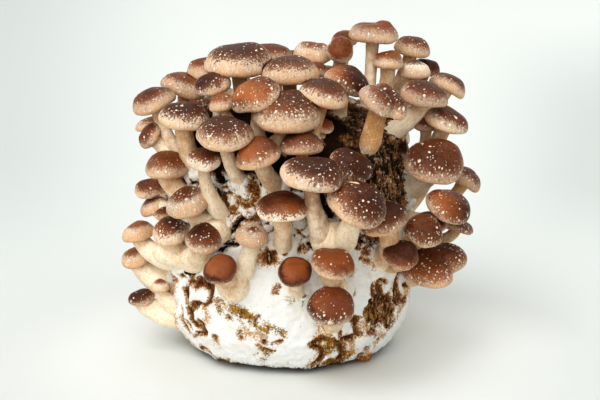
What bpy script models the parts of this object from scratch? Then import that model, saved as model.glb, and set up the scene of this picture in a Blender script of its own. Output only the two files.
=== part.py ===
# Shiitake grow block: a round block of sawdust bound by white mycelium, which stands on a
# flat underside, with eighty young shiitake growing out of its sides and its top.
# Every mushroom is one solid, cap and stem together, and mushrooms whose stems share a
# foot are one solid too. Lengths in the tables are in millimetres: the origin is the
# middle of the underside, +X is to the right, -Y is the front and +Z is up.
import math
from collections import namedtuple

import bmesh
import bpy
import numpy as np
from mathutils import Vector
from mathutils.bvhtree import BVHTree

MM = 0.001
GAP = 0.35

# Height and radius along the block's outline, from the flat underside to the top.
BLOCK_OUTLINE = [(0, 61), (8, 69), (22, 76.5), (50, 80), (90, 79), (130, 76), (148, 66), (156, 44), (158, 0)]
BLOCK_SIDES = 26
FOOT_DEPTH = 4.0
# No cut takes more than half of a piece.
LEAST_LEFT = 0.5

# How a cap's outline runs from its crown over the rim and back under to the stem:
# share of the radius, and height as a share of the cap's thickness.
CAP_OUTLINE = [(0.0, 0.52), (0.52, 0.44), (0.88, 0.15), (1.0, -0.16), (0.86, -0.46)]
SMALL_CAP_OUTLINE = [(0.0, 0.52), (0.62, 0.39), (1.0, -0.08), (0.86, -0.46)]
UNDERSIDE = -0.22
# Before it is bent, a stem is one unit long and this far below its cap.
STEM_START = -500
STEM_RINGS = (1.0, 0.5, 0.0)
FOOT_FLARE = 0.4
# A cap has seven sides, and one more for each of these widths that it is over.
BROADER_CAPS = (21, 34)

# The way in from the front: of two caps that press together, the nearer one keeps its form.
DEPTH = Vector((0, math.cos(math.radians(14)), -math.sin(math.radians(14))))

Mushroom = namedtuple("Mushroom", "number cap across plump lean root stem")

# number, middle of the cap, width of the cap, thickness over radius, lean to the right
# and to the front in degrees, where the stem leaves the block, width of the stem
FRONT = [
    (30, (40, -112, 120), 34, 0.82, (28, 28), (28, -70, 82), 11),
    (31, (14, -108, 137), 36, 0.68, (4, 8), (23, -72, 82), 11),
    (32, (-3, -102, 116), 29, 0.68, (0, 14), (-3, -74, 84), 10),
    (33, (8, -80, 148), 25, 0.75, (0, 5), (9, -72, 129), 7),
    (34, (-18, -92, 145), 28, 0.80, (-18, 12), (-7, -74, 119), 10),
    (38, (-36, -88, 156), 34, 0.70, (0, 10), (-28, -68, 121), 8),
    (29, (37, -82, 136), 26, 0.80, (22, 18), (32, -68, 116), 7),
    (51, (-21, -92, 96), 19, 0.80, (5, 25), (-26, -72, 66), 9),
    (52, (-40, -93, 76), 20, 0.70, (-12, 40), (-30, -71, 56), 13),
    (53, (4, -98, 76), 20, 0.70, (0, 42), (5, -76, 56), 9),
    (54, (26, -100, 82), 26, 0.70, (8, 20), (29, -72, 56), 12),
    (55, (25, -100, 56), 27, 0.80, (0, 40), (27, -70, 32), 9),
]
CROWN = [
    (35, (-1, -69, 165), 41, 0.74, (3, 12), (-5, -64, 143), 10),
    (36, (21, -58, 174), 30, 0.72, (8, 10), (13, -63, 146), 8),
    (59, (21, -58, 154), 12, 0.90, (5, 20), (17, -63, 145), 5),
    (37, (-20, -69, 175), 31, 0.75, (-24, 15), (-18, -60, 147), 8),
    (41, (-39, -58, 168), 17, 0.90, (-10, 5), (-24, -59, 146), 6),
    (18, (57, -62, 170), 31, 0.75, (30, 12), (47, -52, 136), 10),
    (10, (36, -35, 178), 28, 0.75, (22, 12), (31, -33, 154), 8),
    (7, (1, -38, 184), 34, 0.70, (0, 8), (0, -22, 156), 8),
    (5, (-31, -28, 189), 41, 0.66, (-4, 8), (-27, -14, 156), 10),
    (4, (-47, -42, 177), 20, 0.80, (-12, 12), (-39, -48, 146), 5),
    (3, (-53, 0, 179), 23, 0.85, (-8, 5), (-42, 0, 155), 7),
    (6, (-11, 15, 186), 27, 0.70, (3, 5), (-8, 14, 157), 8),
    (8, (15, 12, 187), 26, 0.80, (0, 5), (15, 13, 157), 8),
    (61, (17, -8, 180), 14, 0.90, (5, 5), (17, 7, 157), 6),
    (9, (32, -5, 192), 17, 0.95, (-8, 55), (28, 6, 157), 8),
    (60, (36, 30, 194), 17, 0.90, (0, 5), (30, 13, 157), 7),
    (11, (53, 5, 201), 31, 0.60, (3, -2), (49, -12, 154), 8),
    (13, (62, -5, 185), 18, 0.95, (0, 5), (58, -2, 151), 9),
    (12, (79, 25, 189), 23, 0.85, (10, 5), (60, 6, 150), 8),
    (14, (79, 2, 178), 21, 0.80, (0, 5), (66, 4, 148), 8),
    (15, (88, 28, 175), 19, 0.90, (10, 0), (67, 12, 147), 7),
]
LEFT = [
    (2, (-65, -6, 170), 29, 0.72, (14, 5), (-55, -26, 148), 7),
    (1, (-83, -27, 164), 28, 0.75, (-18, 5), (-65, -36, 126), 8),
    (39, (-62, -52, 159), 30, 0.70, (4, 10), (-57, -46, 126), 11),
    (40, (-85, -30, 143), 18, 0.85, (-50, 10), (-62, -41, 124), 10),
    (42, (-74, -48, 128), 27, 0.78, (-4, 10), (-60, -48, 103), 13),
    (43, (-49, -80, 139), 21, 0.80, (5, 12), (-38, -66, 98), 8),
    (46, (-60, -72, 111), 28, 0.72, (-16, 15), (-41, -65, 90), 12),
    (44, (-87, -15, 106), 21, 0.75, (-8, 5), (-70, -33, 93), 7),
    (45, (-85, -18, 95), 19, 0.80, (-22, 5), (-70, -34, 90), 7),
    (50, (-76, -38, 95), 14, 0.80, (0, 0), (-69, -37, 86), 6),
    (47, (-95, -22, 79), 21, 0.80, (-14, 5), (-71, -32, 60), 11),
    (48, (-72, -52, 88), 22, 0.85, (-5, 25), (-66, -41, 64), 12),
    (49, (-50, -80, 91), 22, 0.85, (0, 30), (-56, -54, 66), 12),
    (56, (-97, -12, 60), 21, 0.80, (-16, 5), (-75, -20, 42), 13),
    (57, (-81, -30, 46), 12, 0.90, (0, 10), (-72, -30, 28), 8),
    (58, (-94, -22, 36), 17, 0.75, (-12, 8), (-72, -26, 21), 13),
]
RIGHT = [
    (28, (56, -85, 104), 29, 0.75, (-20, 10), (55, -53, 70), 12),
    (26, (67, -82, 81), 22, 0.80, (5, 35), (61, -47, 64), 8),
    (27, (91, -50, 66), 41, 0.60, (-10, 26), (74, -24, 48), 9),
    (24, (81, -72, 94), 23, 0.85, (8, 38), (71, -32, 74), 9),
    (81, (87, -42, 91), 21, 0.70, (0, 10), (73, -30, 72), 8),
    (23, (98, -48, 103), 29, 0.72, (24, 20), (76, -20, 86), 8),
    (21, (89, -42, 130), 36, 0.80, (5, 28), (75, -18, 104), 12),
    (25, (105, -25, 84), 22, 0.60, (15, -5), (78, -8, 70), 7),
    (22, (113, -2, 109), 22, 0.85, (28, 5), (79, -1, 72), 8),
    (19, (98, -22, 151), 28, 0.72, (20, 10), (78, 10, 106), 10),
    (20, (86, -8, 145), 15, 0.90, (-5, 5), (78, 4, 108), 7),
    (17, (83, -28, 168), 29, 0.72, (10, 10), (68, -24, 142), 10),
    (16, (102, 12, 167), 24, 0.80, (25, 0), (75, 8, 138), 8),
]

# The far side isn't seen from the front: number, turn from the front towards the right in
# degrees, distance from the axis, height of the cap, width of the cap.
BACK = [
    (62, 150, 56, 164, 34),
    (63, 182, 68, 170, 38),
    (64, 210, 66, 174, 32),
    (65, 234, 70, 166, 34),
    (66, 126, 82, 148, 28),
    (67, 108, 97, 106, 26),
    (68, 138, 98, 124, 36),
    (69, 165, 98, 134, 36),
    (70, 194, 100, 130, 40),
    (71, 222, 98, 138, 34),
    (72, 262, 88, 141, 22),
    (73, 138, 100, 84, 32),
    (74, 160, 103, 94, 28),
    (75, 184, 102, 86, 38),
    (76, 211, 98, 92, 32),
    (77, 236, 98, 86, 34),
    (78, 165, 95, 48, 26),
    (79, 212, 94, 46, 30),
    (80, 150, 93, 56, 20),
]
BACK_RISE = 30
BACK_TILT = 14

# Mushrooms that grow from one foot, and so are one piece: the stem of the first stands in
# its own place, and the others stand against it.
SHARED_FEET = [
    (30, 31), (46, 43), (48, 47, 49), (44, 45, 50), (58, 57), (37, 41), (9, 60), (14, 15),
    (25, 22), (19, 20), (12, 13), (39, 40, 1), (52, 51), (8, 61), (36, 59), (26, 28),
    (24, 81), (78, 80), (64, 65),
]
FOOT_PACKING = 0.36
# How much wider than its neck a swollen stem is at its foot, on top of the usual flare.
BULBS = {52: 0.6, 51: 0.3, 58: 0.5, 56: 0.5, 46: 0.5, 43: 0.4, 47: 0.4, 48: 0.3, 49: 0.3}

CAP_BROWN = (0.19, 0.075, 0.035, 1)
CAP_TAN = (0.42, 0.24, 0.13, 1)
MYCELIUM_WHITE = (0.83, 0.80, 0.74, 1)


def block_radius(height):
    """The block's radius at a height, read along its outline."""
    heights = [h for h, r in BLOCK_OUTLINE]
    radii = [r for h, r in BLOCK_OUTLINE]
    return float(np.interp(height, heights, radii))


def outward(place):
    """The direction straight out of the block at a place on it."""
    x, y, z = place
    rise = 1e-6 + max(0.0, (z - 134) / 24)
    flat = Vector((x, y, 0)).normalized()
    return (flat * max(0.0, 1 - rise) + Vector((0, 0, rise))).normalized()


def foot_place(root):
    """The root moved onto the block's outline, and then a little way in."""
    x, y, z = root
    reach = math.hypot(x, y)
    if z < 149:
        share = block_radius(z) / reach
        on_skin = Vector((x * share, y * share, z))
    else:
        heights = [h for h, r in BLOCK_OUTLINE[-3:]]
        radii = [r for h, r in BLOCK_OUTLINE[-3:]]
        on_skin = Vector((x, y, float(np.interp(-reach, [-r for r in radii], heights))))
    return on_skin - outward(on_skin) * FOOT_DEPTH


def axis_of(lean):
    """The cap's axis, from its lean to the right and its lean to the front."""
    right, front = (math.radians(angle) for angle in lean)
    return Vector((math.sin(right) * math.cos(front), -math.sin(front), math.cos(right) * math.cos(front)))


def back_row(number, turn, reach, height, across):
    """A mushroom of the far side, whose cap looks up and out."""
    angle = math.radians(turn)
    out = Vector((math.sin(angle), -math.cos(angle), 0))
    on_top = height > 155
    foot_reach = reach - 16 if on_top else block_radius(height - BACK_RISE)
    foot = out * foot_reach + Vector((0, 0, 152 if on_top else height - BACK_RISE))
    lean_right = BACK_TILT * out.x * (1 + number % 3) / 2
    lean_front = -BACK_TILT * out.y * (1 + number % 2) / 2
    plump = 0.68 + 0.05 * (number % 4)
    cap = out * reach + Vector((0, 0, height))
    return Mushroom(number, tuple(cap), across, plump, (lean_right, lean_front), tuple(foot), across * 0.28)


def gathered(rows):
    """The mushrooms with the stems of each shared foot side by side."""
    by_number = {row.number: row for row in rows}
    for first, *others in SHARED_FEET:
        anchor = by_number[first]
        for number in others:
            row = by_number[number]
            way = (Vector(row.root) - Vector(anchor.root)).normalized()
            root = Vector(anchor.root) + way * FOOT_PACKING * (anchor.stem + row.stem)
            by_number[number] = row._replace(root=tuple(root))
    return [by_number[row.number] for row in rows]


def all_mushrooms():
    rows = [Mushroom(*row) for row in FRONT + CROWN + LEFT + RIGHT]
    rows += [back_row(*row) for row in BACK]
    return gathered(rows)


def mesh_of(shape):
    """A closed mesh, in metres, of a shape made in millimetres."""
    bmesh.ops.scale(shape, vec=(MM, MM, MM), verts=shape.verts)
    bmesh.ops.recalc_face_normals(shape, faces=shape.faces)
    bmesh.ops.triangulate(shape, faces=shape.faces)
    mesh = bpy.data.meshes.new("turned")
    shape.to_mesh(mesh)
    shape.free()
    return mesh


def turned(outline, sides):
    """The closed surface that a run of (radius, height) points makes round the Z axis."""
    shape = bmesh.new()
    points = [shape.verts.new((radius, 0, height)) for radius, height in outline]
    edges = [shape.edges.new(pair) for pair in zip(points, points[1:])]
    bmesh.ops.spin(
        shape, geom=points + edges, cent=(0, 0, 0), axis=(0, 0, 1), angle=math.tau, steps=sides, use_merge=True
    )
    bmesh.ops.remove_doubles(shape, verts=shape.verts, dist=0.01)
    return shape


def block_mesh(grow):
    outline = [(0, -grow)] + [(radius + grow, height) for height, radius in BLOCK_OUTLINE[:-1]]
    outline[1] = (outline[1][0], -grow)
    outline[-1] = (outline[-1][0], outline[-1][1] + grow)
    outline.append((0, BLOCK_OUTLINE[-1][0] + grow))
    return mesh_of(turned(outline, BLOCK_SIDES))


def sides_of(row):
    return 7 + sum(row.across > limit for limit in BROADER_CAPS)


def neck_of(row):
    """How far below the middle of the cap its stem begins."""
    return -UNDERSIDE * row.plump * row.across / 2


def stem_path(row):
    """A function from 0, at the foot, to 1, at the neck: the stem's middle and its direction."""
    axis = axis_of(row.lean)
    foot = foot_place(row.root)
    neck = Vector(row.cap) - axis * neck_of(row)
    chord = neck - foot
    leave = (outward(row.root) * 0.5 + chord.normalized()).normalized()
    bends = [foot, foot + leave * chord.length * 0.35, neck - axis * chord.length * 0.35, neck]

    def at(share):
        rest = 1 - share
        weights = (rest**3, 3 * rest**2 * share, 3 * rest * share**2, share**3)
        slopes = (-3 * rest**2, 3 * rest * (rest - 2 * share), 3 * share * (2 * rest - share), 3 * share**2)
        middle = sum((weight * bend for weight, bend in zip(weights, bends)), Vector())
        direction = sum((slope * bend for slope, bend in zip(slopes, bends)), Vector())
        return middle, direction.normalized()

    return at


def bend(shape, row):
    """Moves a straight upright mushroom to its place, with its stem along its path."""
    axis = axis_of(row.lean)
    upright = Vector((0, 0, 1)).rotation_difference(axis)
    path = stem_path(row)
    for vert in shape.verts:
        ring = upright @ Vector((vert.co.x, vert.co.y, 0))
        if vert.co.z > STEM_START + 0.001:
            vert.co = Vector(row.cap) + ring + axis * vert.co.z
            continue
        middle, direction = path(1 + vert.co.z - STEM_START)
        vert.co = middle + axis.rotation_difference(direction) @ ring


def cap_outline(row, grow):
    radius = row.across / 2
    half_gap = grow / (radius * row.plump)
    outline = CAP_OUTLINE if row.across > BROADER_CAPS[0] else SMALL_CAP_OUTLINE
    return [
        (share * radius + (grow if share else 0), (height + math.copysign(half_gap, height)) * radius * row.plump)
        for share, height in outline
    ]


def swelling(row, share):
    """How much wider than at its neck a stem is, at a share of the way up from its foot."""
    return 1 + FOOT_FLARE * (1 - share) ** 4 + BULBS.get(row.number, 0) * (1 - share)


def stem_outline(row, grow):
    """The straight stem's radius and height, from the neck down to the foot."""
    return [(row.stem / 2 * swelling(row, share) + grow, STEM_START - 1 + share) for share in STEM_RINGS]


def mushroom_mesh(row, grow=0.0):
    stem = stem_outline(row, grow)
    outline = cap_outline(row, grow) + stem + [(0, stem[-1][1])]
    shape = turned(outline, sides_of(row))
    bend(shape, row)
    return mesh_of(shape)


def cap_mesh(row, grow=0.0):
    outline = cap_outline(row, grow)
    shape = turned(outline + [(0, UNDERSIDE * row.across / 2 * row.plump - grow)], sides_of(row))
    axis = axis_of(row.lean)
    upright = Vector((0, 0, 1)).rotation_difference(axis)
    for vert in shape.verts:
        vert.co = Vector(row.cap) + upright @ vert.co
    return mesh_of(shape)


def stem_mesh(row, grow=0.0):
    outline = stem_outline(row, grow)
    outline = [(0, outline[0][1])] + outline + [(0, outline[-1][1])]
    shape = turned(outline, sides_of(row))
    bend(shape, row)
    return mesh_of(shape)


def meet(mesh, other):
    """Whether the surfaces of two meshes cross."""
    trees = []
    for each in (mesh, other):
        corners = [vert.co for vert in each.vertices]
        trees.append(BVHTree.FromPolygons(corners, [tuple(face.vertices) for face in each.polygons]))
    return bool(trees[0].overlap(trees[1]))


def volume_if_closed(mesh):
    """The volume that a mesh holds, or nothing where it has an open edge."""
    shape = bmesh.new()
    shape.from_mesh(mesh)
    closed = bool(shape.faces) and all(edge.is_manifold for edge in shape.edges)
    volume = shape.calc_volume() if closed else 0.0
    shape.free()
    return volume


def boolean(body, operand, operation):
    """Applies one Boolean to an object's mesh, with the second solver where the first fails."""
    operand_object = bpy.data.objects.new("operand", operand)
    bpy.context.scene.collection.objects.link(operand_object)
    before = volume_if_closed(body.data)
    least = before * (0.99 if operation == "UNION" else LEAST_LEFT)
    most = before + (volume_if_closed(operand) if operation == "UNION" else 0)
    for solver in ("EXACT", "MANIFOLD"):
        modifier = body.modifiers.new(operation.lower(), "BOOLEAN")
        modifier.object = operand_object
        modifier.operation = operation
        modifier.solver = solver
        graph = bpy.context.evaluated_depsgraph_get()
        result = bpy.data.meshes.new_from_object(body.evaluated_get(graph))
        body.modifiers.clear()
        if least <= volume_if_closed(result) <= most * 1.001:
            break
    else:
        raise RuntimeError(f"{body.name}: neither solver gave a closed {operation.lower()}")
    body.data = result
    bpy.data.objects.remove(operand_object)


def keep_largest(body):
    """Drops the crumbs that a cut leaves beside the main body."""
    shape = bmesh.new()
    shape.from_mesh(body.data)
    bmesh.ops.triangulate(shape, faces=shape.faces)
    bmesh.ops.remove_doubles(shape, verts=shape.verts, dist=1e-7)
    unseen = set(shape.faces)
    islands = []
    while unseen:
        island = {unseen.pop()}
        rim = list(island)
        while rim:
            face = rim.pop()
            near = {other for edge in face.edges for other in edge.link_faces} & unseen
            unseen -= near
            island |= near
            rim.extend(near)
        islands.append(island)
    islands.sort(key=lambda island: sum(face.calc_area() for face in island))
    crumbs = [face for island in islands[:-1] for face in island]
    bmesh.ops.delete(shape, geom=crumbs, context="FACES")
    shape.to_mesh(body.data)
    shape.free()


def material(name, colour, roughness):
    made = bpy.data.materials.new(name)
    made.use_nodes = True
    shader = made.node_tree.nodes["Principled BSDF"]
    shader.inputs["Base Color"].default_value = colour
    shader.inputs["Roughness"].default_value = roughness
    shader.inputs["Metallic"].default_value = 0.0
    return made


def finish(body, colour, roughness):
    body.data.materials.clear()
    body.data.materials.append(material(body.name, colour, roughness))
    body.data.shade_smooth()
    body.data.set_sharp_from_angle(angle=math.radians(40))


def zone_of(number):
    """The side of the block that a mushroom stands on, in a word."""
    for zone, rows in (("front", FRONT), ("crown", CROWN), ("left", LEFT), ("right", RIGHT)):
        if number in [row[0] for row in rows]:
            return zone
    return "back"


def name_of(numbers):
    kind = {1: "mushroom", 2: "pair", 3: "trio"}[len(numbers)]
    return "_".join([zone_of(numbers[0]), kind, *(f"{number:02d}" for number in numbers)])


def groups_of(rows):
    """Every piece as the numbers of the mushrooms in it."""
    shared = {number for group in SHARED_FEET for number in group}
    return list(SHARED_FEET) + [(row.number,) for row in rows if row.number not in shared]


def cuts_between(row, other, parts):
    """The cuts that part two mushrooms: (number that is cut, mesh that cuts it)."""
    cap, stem = parts[row.number]
    other_cap, other_stem = parts[other.number]
    cuts = []
    if meet(stem, other_cap):
        cuts.append((other.number, stem_mesh(row, GAP)))
    if meet(other_stem, cap):
        cuts.append((row.number, stem_mesh(other, GAP)))
    if meet(cap, other_cap):
        nearer, farther = sorted((row, other), key=lambda each: DEPTH.dot(each.cap))
        cuts.append((farther.number, cap_mesh(nearer, GAP)))
    if meet(stem, other_stem):
        thicker, thinner = sorted((row, other), key=lambda each: -each.stem)
        cuts.append((thinner.number, stem_mesh(thicker, GAP)))
    return cuts


def build_mushrooms(collection):
    rows = all_mushrooms()
    by_number = {row.number: row for row in rows}
    parts = {row.number: (cap_mesh(row, GAP / 2), stem_mesh(row, GAP / 2)) for row in rows}
    group_of = {number: group for group in groups_of(rows) for number in group}
    bodies = {}
    for group in groups_of(rows):
        body = bpy.data.objects.new(name_of(group), mushroom_mesh(by_number[group[0]]))
        collection.objects.link(body)
        for number in group[1:]:
            boolean(body, mushroom_mesh(by_number[number]), "UNION")
        bodies[group] = body
    for index, row in enumerate(rows):
        for other in rows[index + 1 :]:
            if group_of[row.number] == group_of[other.number]:
                continue
            for number, cutter in cuts_between(row, other, parts):
                boolean(bodies[group_of[number]], cutter, "DIFFERENCE")
    for group, body in bodies.items():
        boolean(body, block_mesh(GAP), "DIFFERENCE")
        keep_largest(body)
        finish(body, CAP_TAN if zone_of(group[0]) == "left" else CAP_BROWN, 0.45)


def build_block(collection):
    block = bpy.data.objects.new("block", block_mesh(0.0))
    collection.objects.link(block)
    finish(block, MYCELIUM_WHITE, 0.85)


def main():
    for leftover in list(bpy.data.objects):
        bpy.data.objects.remove(leftover)
    collection = bpy.data.collections.new("shiitake_grow_block")
    bpy.context.scene.collection.children.link(collection)
    build_block(collection)
    build_mushrooms(collection)


main()
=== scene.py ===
# Shiitake grow block, dressed: the sawdust block under its skin of white mycelium, and the
# shiitake that grow out of its sides and its top. Lengths in the tables are millimetres:
# the origin is the middle of the underside, +X is to the right, -Y is the front, +Z is up.
import math
from collections import namedtuple

import bmesh
import bpy
import numpy as np
from bpy.props import FloatProperty, FloatVectorProperty, PointerProperty
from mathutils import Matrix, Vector, noise


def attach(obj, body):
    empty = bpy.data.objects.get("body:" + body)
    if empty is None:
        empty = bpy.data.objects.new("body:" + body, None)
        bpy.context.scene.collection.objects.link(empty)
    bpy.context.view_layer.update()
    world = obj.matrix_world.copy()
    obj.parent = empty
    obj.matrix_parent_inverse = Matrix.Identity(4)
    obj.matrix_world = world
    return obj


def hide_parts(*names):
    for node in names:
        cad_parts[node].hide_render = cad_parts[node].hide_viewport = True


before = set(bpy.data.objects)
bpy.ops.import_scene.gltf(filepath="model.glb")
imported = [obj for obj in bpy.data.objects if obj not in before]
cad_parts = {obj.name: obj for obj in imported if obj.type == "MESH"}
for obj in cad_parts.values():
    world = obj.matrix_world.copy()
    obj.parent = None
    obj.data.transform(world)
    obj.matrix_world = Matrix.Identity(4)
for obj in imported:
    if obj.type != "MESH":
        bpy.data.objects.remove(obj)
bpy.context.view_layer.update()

bl_info = {
    "name": "Shiitake Grow Block",
    "version": (1, 0, 0),
    "blender": (4, 5, 0),
    "location": "3D View > Sidebar > Grow Block",
    "description": "Grows shiitake mushrooms out of a round block of sawdust and mycelium",
    "category": "Object",
}

MM = 0.001

# The block's outline, from its underside to the middle of its top: height and radius. The
# block and the mushrooms stand where the frame's solids stand.
BLOCK_OUTLINE = [
    (0, 61), (8, 69), (22, 76.5), (50, 80), (90, 79), (130, 76), (148, 66), (156, 44), (158, 0),
]
# From where the sides round off into the top, and over what height they do.
SHOULDER_START, SHOULDER_HEIGHT = 134, 24
# Stems whose root is above this grow out of the top.
TOP_START = 149
FOOT_DEPTH = 4.0

# The camera looks down on the block by CAMERA_RISE degrees; its places are in metres.
CAMERA_RISE = 14.0
CAMERA_DISTANCE = 1.0
CAMERA_TARGET = (0.007, 0.0, 0.094)
CAMERA_LENS = 93.7
CAMERA_SENSOR = 36.0
# Away from the front and down: of two caps that touch, the farther this way gives way.
DEPTH = Vector((0, math.cos(math.radians(CAMERA_RISE)), -math.sin(math.radians(CAMERA_RISE))))

# Each light's name, the way that it shines from, and its spread in degrees.
LIGHTS = (
    ("key", (-0.60, -0.75, 1.50), 38), ("top", (0.05, 0.32, 1.00), 36), ("front", (-0.35, -1.00, 0.35), 60),
)
FILL_COLOUR = (0.97, 1.0, 0.985, 1)
# The floor in metres: how it runs back and up, and where it is palest: the middles of two patches of painted
# light, close to the block and in its lee, where the block's shadow falls.
FLOOR_PROFILE = [
    (-4.0, 0.0), (1.6, 0.0), (2.0, 0.03), (2.35, 0.13), (2.65, 0.32), (2.85, 0.6), (2.95, 0.95), (3.0, 3.5),
]
FLOOR_HALF_WIDTH = 4.0
PAINTED_LIGHT_NEAR_MIDDLE = (0.0, -0.03, 0.0)
PAINTED_LIGHT_LEE_MIDDLE = (0.098, 0.012, 0.0)
ORIGIN = (0, 0, 0)

Mushroom = namedtuple("Mushroom", "number cap across plump lean root stem")

# number, middle of the cap, width of the cap, thickness over radius, lean to the right
# and to the front in degrees, where the stem leaves the block, width of the stem
FRONT = [
    (30, (40, -112, 121), 35, 0.76, (14, 22), (28, -70, 82), 11),
    (31, (14, -108, 137), 36, 0.68, (4, 8), (18, -72, 82), 10),
    (32, (-3, -102, 116), 29, 0.68, (0, 14), (-3, -74, 84), 10),
    (33, (8, -80, 148), 25, 0.75, (0, 5), (9, -72, 129), 7),
    (34, (-18, -92, 145), 28, 0.80, (-18, 12), (-7, -74, 119), 10),
    (38, (-36, -88, 156), 34, 0.70, (0, 10), (-28, -68, 121), 8),
    (29, (37, -82, 136), 26, 0.80, (22, 18), (32, -68, 116), 7),
    (51, (-21, -92, 96), 19, 0.80, (5, 25), (-26, -72, 66), 9),
    (52, (-40, -93, 76), 20, 0.70, (-12, 40), (-30, -71, 56), 13),
    (53, (4, -98, 76), 20, 0.70, (0, 42), (5, -76, 56), 9),
    (54, (26, -100, 82), 26, 0.70, (8, 20), (29, -72, 56), 12),
    (55, (25, -100, 56), 27, 0.80, (0, 40), (27, -70, 32), 9),
]
CROWN = [
    (35, (-1, -69, 165), 41, 0.74, (3, 12), (-5, -64, 143), 10),
    (36, (21, -58, 174), 30, 0.72, (8, 10), (13, -63, 146), 8),
    (59, (21, -58, 154), 12, 0.90, (5, 20), (17, -63, 145), 5),
    (37, (-20, -69, 175), 31, 0.75, (-24, 15), (-18, -60, 147), 8),
    (41, (-39, -58, 168), 17, 0.90, (-10, 5), (-24, -59, 146), 6),
    (18, (57, -62, 170), 31, 0.75, (30, 12), (47, -52, 136), 10),
    (10, (36, -35, 178), 28, 0.75, (22, 12), (31, -33, 154), 8),
    (7, (1, -38, 184), 34, 0.70, (0, 8), (0, -22, 156), 8),
    (5, (-31, -28, 189), 41, 0.66, (-4, 8), (-27, -14, 156), 10),
    (4, (-45.6, -42, 177), 22, 0.80, (-12, 12), (-39, -48, 146), 5),
    (3, (-53, 0, 179), 23, 0.85, (-8, 5), (-42, 0, 155), 7),
    (6, (-11, 15, 186), 27, 0.70, (3, 5), (-8, 14, 157), 8),
    (8, (15, 12, 187), 26, 0.80, (0, 5), (15, 13, 157), 8),
    (61, (17, -8, 180), 14, 0.90, (5, 5), (17, 7, 157), 6),
    (9, (32, -5, 192), 17, 0.95, (-8, 55), (28, 6, 157), 8),
    (60, (36, 30, 194), 17, 0.90, (0, 5), (30, 13, 157), 7),
    (11, (53, 5, 200.5), 31, 0.68, (3, -2), (49, -12, 154), 8),
    (13, (62, -5, 185), 18, 0.95, (0, 5), (58, -2, 151), 9),
    (12, (79, 25, 189), 23, 0.85, (10, 5), (60, 6, 150), 8),
    (14, (79, 2, 178), 21, 0.80, (0, 5), (66, 4, 148), 8),
    (15, (88, 28, 175), 19, 0.90, (10, 0), (67, 12, 147), 7),
]
LEFT = [
    (2, (-65, -6, 170), 29, 0.72, (14, 5), (-55, -26, 148), 7),
    (1, (-83, -27, 164), 28, 0.75, (-18, 5), (-65, -36, 126), 8),
    (39, (-62, -52, 159), 30, 0.70, (4, 10), (-57, -46, 126), 11),
    (40, (-85, -30, 143), 18, 0.85, (-50, 10), (-62, -41, 124), 10),
    (42, (-74, -48, 128), 27, 0.78, (-4, 10), (-60, -48, 103), 13),
    (43, (-49, -80, 139), 21, 0.80, (5, 12), (-38, -66, 98), 8),
    (46, (-60, -72, 111), 28, 0.72, (-16, 15), (-41, -65, 90), 12),
    (44, (-87, -15, 106), 21, 0.75, (-8, 5), (-70, -33, 93), 7),
    (45, (-85, -18, 95), 19, 0.80, (-22, 5), (-70, -34, 90), 7),
    (50, (-76, -38, 95), 14, 0.80, (0, 0), (-69, -37, 86), 6),
    (47, (-95, -22, 79), 21, 0.80, (-14, 5), (-71, -32, 60), 11),
    (48, (-72, -52, 88), 22, 0.85, (-5, 25), (-66, -41, 64), 12),
    (49, (-50, -80, 91), 22, 0.85, (0, 30), (-56, -54, 66), 12),
    (56, (-97, -12, 60), 21, 0.80, (-16, 5), (-75, -20, 42), 13),
    (57, (-81, -30, 46), 12, 0.90, (0, 10), (-72, -30, 28), 8),
    (58, (-94, -22, 36), 17, 0.75, (-12, 8), (-72, -26, 25), 13),
]
RIGHT = [
    (28, (56, -85, 104), 29, 0.75, (-20, 10), (55, -53, 70), 12),
    (26, (67, -82, 82), 22, 0.80, (5, 26), (61, -47, 64), 8),
    (27, (89, -50, 67), 41, 0.60, (-10, 20), (74, -24, 48), 9),
    (24, (81, -72, 94), 23, 0.85, (8, 38), (71, -32, 74), 9),
    (81, (87, -42, 91), 21, 0.70, (0, 10), (73, -30, 72), 8),
    (23, (98, -48, 103), 29, 0.72, (24, 20), (76, -20, 86), 8),
    (21, (89, -42, 130), 36, 0.80, (5, 28), (75, -18, 104), 12),
    (25, (105, -25, 84), 22, 0.60, (15, -5), (78, -8, 70), 7),
    (22, (113, -2, 109), 22, 0.85, (28, 5), (79, -1, 72), 8),
    (19, (98, -22, 151), 28, 0.72, (20, 10), (78, 10, 106), 10),
    (20, (86, -8, 145), 15, 0.90, (-5, 5), (78, 4, 108), 7),
    (17, (83, -28, 168), 29, 0.72, (10, 10), (68, -24, 142), 10),
    (16, (102, 12, 167), 24, 0.80, (25, 0), (75, 8, 138), 8),
]

ZONES = {"front": FRONT, "crown": CROWN, "left": LEFT, "right": RIGHT}

# The far side: number, turn from the front towards the right in degrees, distance from
# the axis, height of the cap, width of the cap.
BACK = [
    (62, 150, 56, 164, 34),
    (63, 182, 68, 170, 38),
    (64, 210, 66, 174, 32),
    (65, 234, 70, 166, 34),
    (66, 126, 82, 148, 28),
    (67, 108, 97, 106, 26),
    (68, 138, 98, 124, 36),
    (69, 165, 98, 134, 36),
    (70, 194, 100, 130, 40),
    (71, 222, 98, 138, 34),
    (72, 262, 88, 141, 22),
    (73, 138, 100, 84, 32),
    (74, 160, 103, 94, 28),
    (75, 184, 102, 86, 38),
    (76, 211, 98, 92, 32),
    (77, 236, 98, 86, 34),
    (78, 165, 95, 48, 26),
    (79, 212, 94, 46, 30),
    (80, 150, 93, 56, 20),
]
# How far below its cap a stem's foot is there, and how far its cap leans, in degrees.
BACK_RISE = 30
BACK_TILT = 14
# A stem's width there as a share of its cap's.
BACK_STEM = 0.28
# Caps higher than this grow out of the top: how far in and how high their feet are.
BACK_TOP_START, BACK_TOP_SPREAD, BACK_TOP_FOOT = 155, 16, 152

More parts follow.
